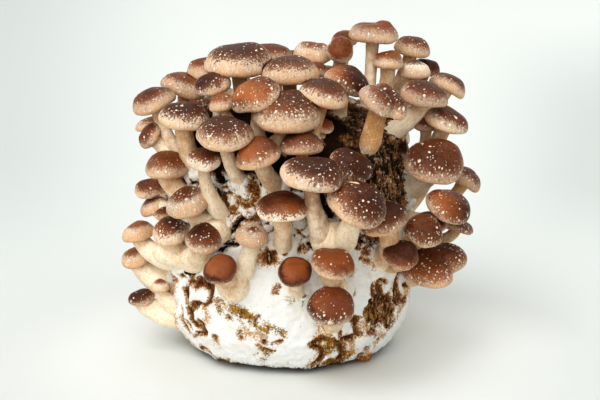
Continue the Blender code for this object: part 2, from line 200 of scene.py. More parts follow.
# Mushrooms that grow from one foot, and so are one piece.
SHARED_FEET = [
    (30, 31), (46, 43), (48, 47, 49), (44, 45, 50), (58, 57), (37, 41), (9, 60), (14, 15),
    (25, 22), (19, 20), (12, 13), (39, 40, 1), (52, 51), (8, 61), (36, 59), (26, 28),
    (24, 81), (78, 80), (64, 65),
]
# How far apart their roots are, as a share of the widths of the two stems.
FOOT_PACKING = 0.36
# How much thicker than its neck a stem is at its foot, where it has a bulb there.
BULBS = {
    18: 0.15, 30: 0.9, 31: 0.9, 40: 0.3, 43: 0.8, 46: 0.9, 47: 0.4, 48: 0.3, 49: 0.3, 51: 0.3, 52: 0.6,
    56: 0.5, 57: 0.6, 58: 0.75,
}
# How high up the stem a bulb is fullest, how fast it thins above, and how it rounds off below.
BULB_LEVEL, BULB_RISE, BULB_ROUNDING = 0.3, 1.8, 0.35
# The width of such a stem's neck, as a share of its usual width.
NECKS = {
    18: 1.12, 30: 0.85, 31: 0.78, 43: 0.8, 46: 0.75, 52: 0.9, 56: 0.95, 57: 0.95, 58: 0.8,
}
# Flesh where the stems of one foot have grown together, by the piece's first mushroom:
# its middle and its half sizes.
WEBS = {
    30: ((24, -87, 92.5), (11, 7.5, 12.5)), 46: ((-45, -71, 92), (11, 8, 9)),
    48: ((-70, -44, 71), (14, 9, 8)), 52: ((-31, -80, 65), (7, 6, 9)),
}
WEB_RINGS = 14
WEB_AROUND = 32
WEB_SHARE = 0.35
# How tan a stem is, and how brown it is under the cap.
STEM_TONES = {
    3: 0.6, 5: 0.5, 7: 0.5, 9: 0.8, 10: 0.6, 11: 0.25, 12: 0.4, 13: 0.35, 17: 0.1, 18: 0.9, 19: 0.3,
    21: 0.1, 23: 0.2, 24: 0.6, 26: 0.6, 28: 0.5, 29: 0.8, 30: 0.0, 31: 0.1, 32: 0.3, 33: 0.8, 34: 0.4,
    35: 0.7, 36: 0.7, 37: 0.5, 38: 0.22, 40: 0.0, 43: 0.15, 44: 0.1, 46: 0.2, 47: 0.05, 48: 0.15, 49: 0.1,
    51: 0.0, 52: 0.3, 53: 0.15, 54: 0.3, 55: 0.3, 56: 0.0, 57: 0.0, 58: 0.0, 59: 0.7,
}
NECK_TONES = {
    18: 0.7, 29: 0.7, 30: 0.0, 31: 1.0, 33: 0.7, 34: 0.2, 35: 0.6, 36: 0.6, 37: 0.5, 38: 0.2, 56: 0.0,
    58: 0.0,
}
USUAL_NECK_TONE = 0.2

# How each cap has coloured, in hundredths: how far the dark skin reaches towards the rim, how
# warm its brown is, how many pale flecks it has, how pale it is beyond the dark skin, the way
# that the dark skin has slipped, in degrees from the front to the right, and how far, how
# dark its crown is (less than none: darker towards the rim), and how glossy it is.
SLIP_TURN = 4
LOOKS = {
    1: (81, 35, 40, 45, 180, 8, 75, 20), 2: (72, 35, 50, 50, 225, 15, 30, 20),
    3: (69, 35, 40, 45, 180, 5, 50, 20), 4: (80, 30, 70, 50, 270, 15, 90, 30),
    5: (76, 42, 65, 50, 150, 12, 98, 30), 6: (80, 30, 40, 40, 180, 5, 60, 20),
    7: (72, 42, 70, 40, 200, 12, 80, 30), 8: (50, 30, 100, 70, 90, 12, 20, 20),
    9: (80, 50, 5, 80, 0, 0, 45, 50), 10: (93, 35, 90, 30, 90, 12, 85, 80),
    11: (74, 10, 30, 45, 90, 8, 0, 30), 12: (80, 40, 60, 45, 180, 10, 75, 50),
    13: (77, 60, 30, 60, 180, 10, 35, 30), 14: (45, 30, 90, 100, 180, 15, 90, 20),
    15: (102, 10, 10, 10, 90, 0, 100, 10), 16: (80, 40, 30, 50, 180, 10, 80, 20),
    17: (81, 30, 50, 45, 120, 8, 80, 20), 18: (74, 12, 100, 35, 45, 10, 60, 20),
    19: (81, 35, 60, 75, 120, 15, 70, 40), 20: (81, 30, 40, 40, 180, 5, 50, 20),
    21: (93, 25, 90, 40, 150, 8, 55, 50), 22: (76, 15, 90, 35, 120, 8, 60, 20),
    23: (92, 55, 100, 50, 60, 12, 42, 60), 24: (92, 32, 100, 50, 150, 10, 55, 40),
    # Caps 26 and 27 are darker in part as painted shade from the caps that hang over them.
    25: (95, 35, 80, 35, 90, 5, 85, 30), 26: (104, 30, 5, 50, 180, 5, 90, 30),
    27: (99, 42, 100, 30, 180, 10, 60, 30), 28: (97, 30, 60, 20, 150, 8, 85, 30),
    29: (93, 25, 90, 45, 60, 12, 90, 90), 30: (90, 20, 100, 35, 110, 15, 70, 40),
    31: (84, 12, 60, 72, 100, 16, 90, 30), 32: (87, 60, 0, 100, 180, 5, 75, 90),
    33: (97, 38, 80, 25, 180, 12, 72, 60), 34: (95, 60, 40, 30, 180, 10, 20, 30),
    35: (80, 45, 90, 40, 180, 10, 70, 30), 36: (78, 42, 60, 50, 150, 10, 85, 50),
    37: (92, 85, 90, 35, 180, 8, 25, 60), 38: (86, 40, 100, 40, 180, 8, 90, 40),
    39: (78, 30, 90, 65, 180, 10, 100, 30), 40: (80, 20, 40, 40, 90, 5, 50, 20),
    41: (70, 55, 40, 40, 180, 5, 10, 30), 42: (86, 45, 70, 40, 180, 10, 40, 40),
    43: (75, 35, 50, 100, 180, 8, 70, 30), 44: (87, 35, 40, 60, 90, 10, 60, 20),
    45: (50, 15, 30, 50, 90, 5, 60, 30), 46: (58, 12, 100, 80, 200, 14, 50, 30),
    47: (48, 40, 15, 50, 120, 15, 5, 20), 48: (72, 30, 100, 80, 180, 10, 80, 30),
    49: (82, 30, 90, 50, 180, 10, 70, 20), 50: (89, 35, 20, 40, 180, 5, 50, 30),
    51: (24, 10, 90, 70, 30, 10, 20, 10), 52: (97, 45, 0, 70, 30, 5, -65, 50),
    53: (102, 52, 0, 60, 60, 5, -85, 60), 54: (91, 48, 30, 45, 120, 8, 12, 50),
    55: (97, 15, 100, 70, 200, 5, -45, 50), 56: (62, 40, 60, 50, 200, 15, 15, 20),
    57: (42, 40, 10, 90, 180, 5, 10, 10), 58: (92, 30, 40, 60, 270, 10, 85, 30),
    59: (80, 50, 20, 40, 180, 0, 40, 20), 60: (87, 40, 20, 35, 180, 0, 50, 20),
    61: (80, 50, 30, 50, 180, 0, 40, 20), 81: (95, 35, 20, 35, 180, 0, 90, 10),
}

# How sharply a cap's dark skin ends, from 0 to 1.
CRISP = {
    2: 0.5, 4: 0.8, 5: 0.8, 7: 0.7, 14: 0.8, 18: 0.3, 23: 0.6, 24: 0.7, 27: 0.5, 29: 0.6, 30: 0.6, 31: 0.8,
    32: 1.0, 35: 0.5, 36: 0.7, 37: 0.5, 38: 0.6, 39: 1.0, 40: 0.6, 42: 0.4, 43: 0.9, 46: 0.5, 48: 0.8,
    51: 0.2,
}
USUAL_CRISP = 0.25
# Towards which side a cap's skin changes, as a turn from the front to the right, and how much warmer and how
# much darker it is there. On some caps, such as 48, this is painted light: the side towards the light is
# warmer and paler; on the others it is the skin's own uneven colour.
SIDES_AND_PAINTED_LIGHT = {
    2: (-60, -0.2, 0.4), 4: (-90, -0.2, 0.4), 10: (-90, 0.8, -0.9), 18: (90, 0.3, 0.4),
    23: (-90, 0.6, -0.6), 26: (0, 0.3, -0.3), 27: (-30, 0.3, -0.3), 28: (120, -0.3, 0.4),
    30: (90, -0.2, 0.3), 32: (60, 0.4, -0.3), 34: (-90, 0.4, -0.6), 37: (-60, 0.3, -0.8),
    48: (-60, 0.5, -0.7), 52: (-120, 0.4, -0.5), 53: (-150, 0.4, -0.5), 55: (-120, 0.3, -0.3),
}

# Folds, notches and bumps of single caps: from x, y to x, y in shares of the radius, with
# x to the right and y to the back, half width and depth in millimetres. Less than none of
# depth is a bump.
FOLDS = {
    18: [(-0.7, 0.5, 0.6, -0.7, 3.4, 3.6)],
    11: [(0.3, 0.0, 0.5, 0.0, 3.4, -2.2), (-0.3, -0.1, 0.0, 0.0, 4.0, 1.2)],
    27: [(0.45, -0.75, 0.30, -0.1, 2.6, 1.6)],
    30: [(-0.25, 0.5, 0.1, 0.4, 1.8, 1.1)],
    54: [(-0.1, -0.72, 0.7, -0.5, 1.5, 1.6)],
    31: [(-0.5, 0.5, 0.5, 0.6, 2.0, 1.2)],
    34: [(-0.9, 0.0, -0.2, 0.4, 3.0, 1.2)],
    2: [(-0.1, 0.2, 0.5, 0.0, 3.0, 1.4)],
    22: [(-0.2, -0.6, 0.4, 0.2, 2.4, 1.4)],
    23: [(0.55, -0.45, 0.6, -0.4, 1.2, 1.6)],
    53: [(-0.6, 0.3, 0.3, 0.4, 2.4, 0.7)],
    32: [(-0.4, 0.3, 0.5, 0.2, 2.5, 1.0)],
    8: [(-0.2, -0.5, 0.3, 0.3, 1.6, 0.9)],
    75: [(-0.6, 0.7, 0.4, -0.5, 3.0, 2.4)],
    70: [(0.2, 0.6, 0.8, 0.1, 2.8, 1.8)],
}
# Places where a cap's rim runs inwards: the way there, as a turn from the right towards the
# back in degrees, how wide it is in degrees, and how deep as a share of the radius.
BITES = {
    27: (-38, 20, 0.34), 22: (-80, 22, 0.14), 18: (-62, 16, 0.16), 37: (-120, 24, 0.12), 8: (-95, 18, 0.12),
}
# Skin torn down to the pale flesh, in the same terms as a fold, without a depth.
TEARS = {
    30: [(-0.34, 0.50, -0.14, 0.44, 1.8)],
    31: [(-0.5, 0.62, 0.5, 0.7, 1.0)],
    55: [(0.35, -0.9, 0.5, -0.85, 0.9), (-0.1, -0.93, 0.1, -0.94, 0.8)],
    21: [(-0.5, 0.3, -0.45, 0.2, 1.0), (-0.25, 0.05, -0.2, 0.02, 0.9)],
}

# A cap's outline from its crown over the rim and in to the gills: share of the radius, and
# height as a share of its thickness.
CAP_OUTLINE = [
    (0.0, 0.52), (0.16, 0.515), (0.34, 0.49), (0.52, 0.44), (0.68, 0.36), (0.81, 0.25), (0.9, 0.12),
    (0.965, -0.03), (1.0, -0.17), (0.995, -0.29), (0.96, -0.38), (0.91, -0.44), (0.86, -0.465),
    (0.81, -0.45), (0.77, -0.4),
]
# Which place of the outline is the rim, and how much a cap's rise above it is stretched.
RIM = 8
CROWN_RISE = 1.2
# The gills' inner end, as a height like those of the outline.
UNDERSIDE = -0.22
# How a cap's edge strays from round: how far, as a share of the radius, and how many times.
LOBES = ((0.030, 2), (0.024, 3), (0.012, 5), (0.008, 7))
RINGS_PER_STEP = 2
GILL_RINGS = 8
GILL_DEPTH = 0.075
# A stem widens into its cap near its neck, and into the block at its foot.
STEM_RINGS = 24
STEM_LEAVE, STEM_BEND = 0.5, 0.35
NECK_JOIN = 1.12
NECK_START, NECK_LENGTH, NECK_WIDENING = 0.85, 0.15, 0.12
FOOT_SETTLE = 0.3
FOOT_SINK = 3.0
FOOT_FLARE = 0.4
# A cap's and a stem's marks are read from a random place, so that no two are alike: its least
# and greatest numbers, and how many it has.
OFFSETS = (-200, 200, 3)
# Fibres run along a cap or a stem: how far apart they are round it, and how slow along it.
CAP_COMB_REACH, CAP_COMB_PACE = 12, 0.28
STEM_COMB_REACH, STEM_COMB_PACE = 6, 0.22
# The number of points round a cap, from that width on.
AROUND_BY_WIDTH = [(0, 64), (16, 80), (24, 96)]

# Marks on the block's skin, each a stroke along a line of places, by turn from the front
# towards the right in degrees and height, with its half width first. Rust-brown places
# where the skin is open, dark holes, flaked sawdust, the block's own juice dried to a
# golden crust, and tan places.
RUST_STROKES = [
    (2.5, (-45, 57), (-41, 58), (-38, 56), (-36, 54), (-36, 51), (-36, 48)),
    (2.2, (-54, 49), (-52, 49), (-53, 43), (-52, 38), (-50, 33), (-49, 29), (-47, 28)),
    (1.9, (-49, 39), (-45, 42), (-42, 44), (-40, 44)), (2.2, (-44, 31), (-43, 29), (-44, 24), (-48, 21)),
    (0.9, (-57, 34), (-59, 28), (-58, 23), (-55, 20), (-49, 20)), (0.9, (-56, 27), (-52, 24)),
    (1.7, (-56, 59), (-52, 59)), (1.4, (-48, 61), (-47, 60)), (0.9, (-67, 61), (-64, 60)),
    (1, (-62, 64), (-58, 60)), (1.2, (-68, 23), (-70, 17)), (0.9, (-68, 13), (-68, 10), (-65, 8)),
    (1.9, (-36, 22), (-36, 20)), (1, (-52, 10), (-49, 11)), (0.9, (-45, 9), (-44, 9)),
    (0.9, (-28, 39), (-28, 36)), (1.4, (-69, 64), (-67, 65)), (1.3, (-21, 42), (-18, 41)),
    (0.9, (-24, 50), (-21, 49)), (0.8, (-15, 37), (-14, 40), (-13, 41)), (0.8, (-22, 29), (-21, 26)),
    (0.8, (-6, 24), (-4, 25)), (1.2, (-10, 27), (-9, 25)), (0.9, (-14, 21), (-10, 21), (-7, 20)),
    (0.8, (-16, 15), (-16, 15)), (0.8, (-15, 4), (-14, 4)), (1.2, (-40, 2), (-37, 0)),
    (1.1, (-5, 60), (-4, 60)), (0.8, (-6, 57), (-5, 57)), (4.5, (-9, 81), (-7, 83), (-8, 78)),
    (1.9, (-2, 82), (-1, 82)), (1.7, (26, 85), (28, 84)), (1.9, (30, 87), (32, 82)),
    (1.6, (34, 85), (36, 83)), (0.9, (34, 79), (38, 78)), (0.9, (33, 76), (38, 73)),
    (2.2, (26, 66), (29, 66)), (1.1, (43, 69), (41, 66)), (0.8, (44, 75), (45, 72)),
    (0.8, (52, 65), (50, 63), (48, 62)), (1, (47, 62), (47, 59)), (1, (44, 56), (46, 57), (49, 56)),
    (1.7, (44, 55), (44, 52), (46, 50)), (1.4, (40, 54), (42, 51)), (1.4, (63, 37), (70, 37)),
    (1.4, (64, 49), (68, 47)), (1.2, (41, 45), (40, 40), (41, 34)), (1.3, (46, 41), (48, 32)),
    (1.4, (53, 37), (52, 28)), (1.2, (54, 24), (57, 22)), (0.9, (59, 28), (58, 24)),
    (0.8, (42, 26), (45, 21)), (0.8, (47, 17), (49, 20)), (0.8, (40, 26), (41, 23)),
    (3.3, (20, 35), (22, 32), (24, 28)), (0.8, (34, 27), (37, 26)),
    (2.3, (16, 30), (14, 28), (12, 23), (14, 18)), (1.9, (16, 30), (19, 29), (21, 26)),
    (1.4, (24, 22), (26, 17)), (1.9, (14, 9), (16, 12), (18, 14)), (1.4, (26, 13), (30, 11)),
    (1.3, (42, 12), (45, 10)), (1, (38, 6), (43, 6)), (1.6, (-30, 111), (-27, 110), (-27, 108)),
    (1, (-29, 106), (-27, 104)),
    (1, (-22, 112), (-21, 110), (-18, 109), (-15, 113), (-15, 117), (-16, 120)),
    (0.8, (-19, 113), (-19, 112)), (1.9, (-16, 123), (-14, 120), (-13, 116)), (1.4, (-20, 123), (-18, 122)),
    (1.2, (-16, 109), (-14, 106)), (1.6, (-14, 103), (-17, 101), (-20, 101)), (1.3, (-23, 96), (-22, 96)),
    (1.9, (-25, 120), (-23, 118)), (1.3, (-26, 116), (-23, 114)), (1.4, (1, 122), (2, 121)),
    (2.2, (27, 91), (30, 86)), (1.3, (34, 79), (38, 80)), (2.2, (40, 54), (42, 48), (46, 48), (50, 44)),
    (2.5, (47, 44), (49, 36), (49, 30)), (2.2, (42, 46), (41, 41), (43, 32)),
    (2.2, (51, 46), (53, 38), (56, 31), (53, 27)), (2.2, (60, 58), (56, 55), (57, 49), (56, 42), (58, 38)),
    (1.7, (57, 45), (64, 37), (69, 37)), (2.9, (14, 27), (16, 29), (20, 27), (23, 22)),
    (2.6, (23, 22), (27, 15), (27, 9)), (2.5, (13, 25), (13, 20), (16, 15), (16, 11)),
    (1.9, (21, 8), (27, 3), (30, 8)), (3, (20, 34), (24, 30), (27, 24), (31, 24)),
    (2.6, (30, 37), (32, 32), (33, 25)), (2, (-9, 82), (-7, 82), (-6, 82)), (0.6, (2, 79), (2, 78)),
    (0.6, (-4, 76), (-2, 76)), (1.5, (4, 83), (7, 85)), (0.7, (2, 79), (3, 78)), (1.3, (24, 60), (25, 56)),
    (1.2, (28, 57), (28, 54)), (0.8, (55, 55), (57, 57), (60, 57)),
    (1.6, (58, 54), (56, 50), (56, 42), (56, 38)), (2, (30, 38), (32, 35), (32, 30), (34, 27)),
    (1.5, (34, 27), (31, 24), (29, 23), (26, 25)), (1.5, (23, 34), (24, 31)),
    (1.2, (-40, 44), (-37, 47), (-36, 50)), (1.2, (-53, 48), (-50, 54), (-45, 57)),
]
HOLE_STROKES = [
    (1.8, (-51, 62), (-47, 64), (-44, 64)), (1.4, (-33, 79), (-29, 80), (-26, 84), (-22, 85)),
    (1.5, (-28, 88), (-27, 86)), (0.8, (9, 87), (11, 84)), (1.3, (21, 84), (24, 83)),
    (1.5, (6, 55), (7, 54)), (0.6, (6, 51), (6, 50)), (1.9, (-34, 115), (-32, 112)),
    (2.9, (-34, 126), (-32, 122)), (0.7, (-16, 126), (-15, 123)), (0.9, (-13, 125), (-10, 123)),
    (1.3, (-19, 130), (-15, 129)), (1.3, (-8, 119), (-6, 119)),
    (1.1, (-20, 100), (-24, 95), (-25, 92), (-28, 89)), (1.7, (-28, 86), (-28, 85)),
    (2.7, (16, 115), (16, 108), (19, 102)), (1.3, (3, 120), (6, 119)), (4.5, (-4, 136), (0, 132)),
    (2.1, (44, 122), (44, 120)), (1.6, (27, 90), (35, 84)),
]
FLAKE_STROKES = [
    (5.1, (44, 45), (42, 40), (44, 32)), (4.1, (51, 38), (54, 28)), (4.2, (30, 146), (35, 144)),
    (3.4, (39, 44), (38, 40), (40, 33)), (3.8, (48, 43), (51, 33)),
]
GOLD_STROKES = [
    (1.9, (-67, 37), (-64, 36), (-66, 30)), (1.4, (-64, 52), (-60, 52)), (1, (-30, 43), (-30, 42)),
    (0.9, (-36, 48), (-33, 48), (-29, 47)), (3.2, (-24, 45), (-22, 43), (-20, 41), (-17, 40)),
    (1.8, (-18, 37), (-16, 35), (-14, 33), (-11, 32), (-9, 32)), (1.6, (-8, 34), (-3, 33)),
    (2.1, (-11, 22), (-10, 18)), (1, (-11, 12), (-11, 12), (-13, 9)), (3.4, (-43, 3), (-40, 3), (-33, 4)),
    (0.9, (1, 53), (2, 53)), (4.4, (18, 23), (20, 19)), (1, (13, 7), (18, 6)),
    (2.1, (23, 4), (29, 3), (31, 7), (32, 10)), (1.2, (6, 4), (10, 4), (12, 7)),
    (1, (-18, 105), (-18, 105)), (1.9, (38, 43), (38, 39), (41, 32)), (3.2, (16, 22), (20, 18), (22, 21)),
    (2.4, (13, 8), (18, 6), (24, 5), (30, 5), (33, 10)),
]
TAN_STROKES = [
    (2.7, (-69, 61), (-62, 52), (-68, 40), (-67, 33)), (1.8, (-65, 32), (-63, 26), (-69, 17)),
    (1.2, (-68, 13), (-67, 9), (-58, 8)), (1.8, (-40, 42), (-39, 36), (-41, 30)),
    (1.5, (-35, 48), (-29, 45), (-25, 47)), (1.5, (-22, 37), (-20, 31), (-16, 28), (-11, 28)),
    (1.4, (-10, 36), (-6, 34), (-3, 31)), (1.5, (-46, 0), (-40, 0), (-32, 2)),
    (2, (25, 26), (30, 19), (34, 13), (32, 8)), (1.8, (14, 36), (17, 32), (13, 29)),
    (2.7, (38, 41), (37, 33), (40, 28)), (3, (67, 44), (68, 37), (63, 31)),
    (1.5, (46, 26), (52, 19), (50, 15)), (1.3, (80, 40), (76, 36)), (2.4, (40, 68), (37, 74), (35, 78)),
    (3.6, (-10, 77), (-12, 79), (-7, 76)),
]

# Lumps of the block: turn, height, reach and rise. Small brown ones are mushrooms to come.
LUMPS = [
    (-17, 113, 6.0, 2.2), (-43, 50, 6.5, 1.0), (-45, 36, 4.5, 0.9), (-54, 29, 4.0, 0.8),
    (-30, 104, 5.0, 1.6), (-12, 106, 5.0, 1.2), (-24, 122, 4.0, 2.0), (-6, 112, 4.5, 1.8),
    (28, 31, 4.0, 0.8), (16, 66, 9.0, 0.8), (47, 4, 4.2, 3.4), (-1.5, 82, 2.2, 1.8), (65, 100, 2.6, 2.2),
    (-24.5, 107, 2.4, 1.8), (38, 20, 6.0, 1.0),
]
BROWN_LUMPS = [(47, 4, 4.2), (-1.5, 82, 2.0), (65, 100, 2.4), (-24.5, 107, 2.1), (-16, 112, 0.9)]

# The block's skin is finest where it faces the front: the points of a ring, and the distance
# between rings under the block, up its side and over its top.
FRONT_TURN = 80
FRONT_STEPS = 240
FAR_STEPS = 160
BLOCK_AROUND = FRONT_STEPS + FAR_STEPS
UNDER_STEP, SIDE_STEP, TOP_STEP = 9.0, 0.92, 1.75
SIDE_STEP_START, TOP_STEP_START = 0.1, 140
# How far the block's lower edge pulls in from its outline, above the floor.
UNDERCUT = [(0, 46), (1.2, 56), (2.6, 61.5), (4.5, 65.5), (8, 69)]
COLLAR_WIDTH = 4.5
# How far inside a mark a point well outside it is said to be, and the least distance from the
# axis at which a turn is measured.
WELL_OUTSIDE = -6.0
LEAST_REACH = 40
# The places of a mushroom's materials.
CAP, GILLS, STEM = range(3)


# ---- where things stand
def block_radius(height):
    """The block's radius at a height, read along its outline."""
    heights, radii = zip(*BLOCK_OUTLINE)
    return float(np.interp(height, heights, radii))


def outward(place):
    """The direction straight out of the block at a place on it."""
    x, y, z = place
    rise = 1e-6 + max(0.0, (z - SHOULDER_START) / SHOULDER_HEIGHT)
    flat = Vector((x, y, 0)).normalized()
    return (flat * max(0.0, 1 - rise) + Vector((0, 0, rise))).normalized()


def foot_place(root):
    """The root moved onto the block's outline, and then a little way in."""
    x, y, z = root
    reach = math.hypot(x, y)
    if z < TOP_START:
        share = block_radius(z) / reach
        skin = Vector((x * share, y * share, z))
    else:
        heights, radii = zip(*BLOCK_OUTLINE[-3:])
        skin = Vector((x, y, float(np.interp(-reach, [-r for r in radii], heights))))
    return skin - outward(skin) * FOOT_DEPTH


def axis_of(lean):
    """The cap's axis, from its lean to the right and its lean to the front."""
    right, front = (math.radians(angle) for angle in lean)
    return Vector((math.sin(right) * math.cos(front), -math.sin(front), math.cos(right) * math.cos(front)))


def back_row(number, turn, reach, height, across):
    """A mushroom of the far side, whose cap looks up and out."""
    angle = math.radians(turn)
    out = Vector((math.sin(angle), -math.cos(angle), 0))
    on_top = height > BACK_TOP_START
    foot_reach = reach - BACK_TOP_SPREAD if on_top else block_radius(height - BACK_RISE)
    foot = out * foot_reach + Vector((0, 0, BACK_TOP_FOOT if on_top else height - BACK_RISE))
    lean = (BACK_TILT * out.x * (1 + number % 3) / 2, -BACK_TILT * out.y * (1 + number % 2) / 2)
    plump = 0.68 + 0.05 * (number % 4)
    cap = out * reach + Vector((0, 0, height))
    return Mushroom(number, tuple(cap), across, plump, lean, tuple(foot), across * BACK_STEM)


def gathered(rows):
    """The mushrooms with the stems of each shared foot side by side."""
    by_number = {row.number: row for row in rows}
    for first, *others in SHARED_FEET:
        anchor = by_number[first]
        for number in others:
            row = by_number[number]
            way = (Vector(row.root) - Vector(anchor.root)).normalized()
            root = Vector(anchor.root) + way * FOOT_PACKING * (anchor.stem + row.stem)
            by_number[number] = row._replace(root=tuple(root))
    return [by_number[row.number] for row in rows]


def all_mushrooms():
    """Every mushroom's row, with the far side's worked out."""
    rows = [Mushroom(*row) for side in ZONES.values() for row in side]
    return gathered(rows + [back_row(*row) for row in BACK])


def zone_of(number):
    """The side of the block that a mushroom stands on, in a word."""
    for zone, rows in ZONES.items():
        if number in [row[0] for row in rows]:
            return zone
    return "back"


def node_of(numbers):
    """The frame's solid that these mushrooms stand for."""
    kind = {1: "mushroom", 2: "pair", 3: "trio"}[len(numbers)]
    return "_".join([zone_of(numbers[0]), kind, *(f"{number:02d}" for number in numbers)])


def groups_of(rows):
    """Every piece as the numbers of the mushrooms in it."""
    shared = {number for group in SHARED_FEET for number in group}
    return SHARED_FEET + [(row.number,) for row in rows if row.number not in shared]


# ---- noise over many points
def rough(points, spacing, seed=0.0):
    """Soft noise from -1 to 1 at each point, whose lumps are about that far apart."""
    shift = np.array([seed * 17.3, seed * 7.9, seed * 3.1])
    return np.array([noise.noise(Vector(point)) for point in (points / spacing + shift).tolist()])


def cell_edges(points, spacing):
    """How far each point is from the edge of its lump, where lumps are about that wide."""
    found = (noise.voronoi(Vector(point))[0] for point in (points / spacing).tolist())
    return np.array([distances[1] - distances[0] for distances in found])


def smooth(value, low, high):
    """0 below low, 1 above high, and a soft step between them."""
    share = np.clip((value - low) / (high - low), 0, 1)
    return share * share * (3 - 2 * share)


def on_skin(points):
    """Each point's turn from the front in degrees, and the length of a degree there."""
    turn = np.degrees(np.arctan2(points[:, 0], -points[:, 1]))
    reach = np.maximum(np.hypot(points[:, 0], points[:, 1]), LEAST_REACH)
    return turn, reach * math.pi / 180


def inside_strokes(points, strokes):
    """How far inside the nearest stroke each point is; less than none is outside."""
    turn, degree = on_skin(points)
    best = np.full(len(points), WELL_OUTSIDE)
    for half, *places in strokes:
        for (turn_a, height_a), (turn_b, height_b) in zip(places, places[1:]):
            x, y = (turn - turn_a) * degree, points[:, 2] - height_a
            way_x, way_y = (turn_b - turn_a) * degree, height_b - height_a
            along = np.clip((x * way_x + y * way_y) / (way_x**2 + way_y**2 + 1e-9), 0, 1)
            best = np.maximum(best, half - np.hypot(x - along * way_x, y - along * way_y))
    return best


def round_places(points, places):
    """How far inside the nearest round place each point is; less than none is outside."""
    turn, degree = on_skin(points)
    best = np.full(len(points), WELL_OUTSIDE)
    for place_turn, height, reach in places:
        best = np.maximum(best, reach - np.hypot((turn - place_turn) * degree, points[:, 2] - height))
    return best


# ---- meshes from arrays
class Shell:
    """Points with their values, and faces with their materials, gathered for one mesh."""

    VALUES = {"place": 3, "comb": 3, "look": 3, "tone": 3, "share": 1, "pale": 1, "torn": 1}

    def __init__(self):
        self.points, self.faces, self.kinds = [], [], []
        self.values = {name: [] for name in self.VALUES}
        self.count = 0

    def add(self, points, **values):
        """Adds points and returns the number of the first."""
        first = self.count
        self.points.append(points)
        for name, size in self.VALUES.items():
            value = np.array(values.get(name, 0.0), float)
            if size == 1 and value.shape == (len(points),):
                value = value[:, None]
            self.values[name].append(np.zeros((len(points), size)) + value)
        self.count += len(points)
        return first

    def face(self, corners, kind):
        """Adds faces of one material."""
        self.faces.extend(corners)
        self.kinds.extend([kind] * len(corners))

    def bridge(self, first, second, around, kind):
        """Four-sided faces between two rings of as many points."""
        here = np.arange(around)
        there = np.roll(here, -1)
        self.face(np.stack([first + here, first + there, second + there, second + here], 1).tolist(), kind)

    def halve(self, first, second, around, kind):
        """Faces from a ring to one of half as many points."""
        for step in range(around // 2):
            a0, a1, a2 = (first + (2 * step + extra) % around for extra in range(3))
            b0, b1 = (second + (step + extra) % (around // 2) for extra in range(2))
            self.face([(a0, a1, b0), (a1, a2, b1), (a1, b1, b0)], kind)

    def fan(self, ring, pole, around, kind):
        """Faces from a ring to one point."""
        self.face([(ring + step, ring + (step + 1) % around, pole) for step in range(around)], kind)

    def object(self, name, materials):
        """The mesh as an object, in metres, without the points that no face uses."""
        mesh = bpy.data.meshes.new(name)
        mesh.from_pydata((np.concatenate(self.points) * MM).tolist(), [], self.faces)
        mesh.polygons.foreach_set("material_index", self.kinds)
        for label, size in self.VALUES.items():
            layer = mesh.attributes.new(label, "FLOAT_VECTOR" if size == 3 else "FLOAT", "POINT")
            values = np.concatenate(self.values[label]).astype(np.float32).ravel()
            layer.data.foreach_set("vector" if size == 3 else "value", values)
        shape = bmesh.new()
        shape.from_mesh(mesh)
        bmesh.ops.recalc_face_normals(shape, faces=shape.faces)
        loose = [vert for vert in shape.verts if not vert.link_faces]
        bmesh.ops.delete(shape, geom=loose, context="VERTS")
        shape.to_mesh(mesh)
        shape.free()
        mesh.shade_smooth()
        made = bpy.data.objects.new(name, mesh)
        bpy.context.scene.collection.objects.link(made)
        for each in materials:
            mesh.materials.append(each)
        return made


# ---- mushrooms
def curve_through(corners, steps):
    """Points on a smooth curve through the corners, with that many to each stretch."""
    corners = np.array(corners, float)
    ends = np.concatenate([[2 * corners[0] - corners[1]], corners, [2 * corners[-1] - corners[-2]]])
    points = []
    for a, b, c, d in zip(ends, ends[1:], ends[2:], ends[3:]):
        bend, twist = 2 * a - 5 * b + 4 * c - d, 3 * b - a - 3 * c + d
        for step in range(steps):
            t = step / steps
            points.append(0.5 * (2 * b + (c - a) * t + bend * t**2 + twist * t**3))
    points.append(corners[-1])
    return np.array(points)


def round_axis(angle, reach, along):
    """Places round an upright axis, that far out and that far along it."""
    return np.stack([reach * np.cos(angle), reach * np.sin(angle), np.broadcast_to(along, angle.shape)], 1)


def ring_angles(around):
    """The turn of each point of a ring, in radians."""
    return np.arange(around) / around * math.tau


def frame_of(axis):
    """Rows that turn a place into right, back and up of a cap whose axis this is."""
    turn = Vector((0, 0, 1)).rotation_difference(axis).to_matrix()
    return np.array(turn.transposed())


def stem_path(row):
    """A function from 0, at the foot, to 1, at the neck: the stem's middle and its direction."""
    axis = axis_of(row.lean)
    foot = foot_place(row.root)
    neck = Vector(row.cap) + axis * UNDERSIDE * row.plump * row.across / 2
    chord = neck - foot
    leave = (outward(row.root) * STEM_LEAVE + chord.normalized()).normalized()
    bends = [foot, foot + leave * chord.length * STEM_BEND, neck - axis * chord.length * STEM_BEND, neck]

    def at(share):
        rest = 1 - share
        weights = (rest**3, 3 * rest**2 * share, 3 * rest * share**2, share**3)
        slopes = (-3 * rest**2, 3 * rest * (rest - 2 * share), 3 * share * (2 * rest - share), 3 * share**2)
        middle = sum((weight * bend for weight, bend in zip(weights, bends)), Vector())
        direction = sum((slope * bend for slope, bend in zip(slopes, bends)), Vector())
        return middle, direction.normalized()

    return at


def swelling(row, share):
    """How much wider than at its neck a stem is, at a share of the way up from its foot."""
    bulb = BULBS.get(row.number, 0)
    if not bulb:
        return 1 + FOOT_FLARE * (1 - share) ** 4
    round_end = max(0.0, BULB_LEVEL - share) / BULB_LEVEL
    fullness = min(1.0, (1 - share) / (1 - BULB_LEVEL)) ** BULB_RISE
    return NECKS.get(row.number, 1) * (1 + bulb * fullness - BULB_ROUNDING * round_end**2)


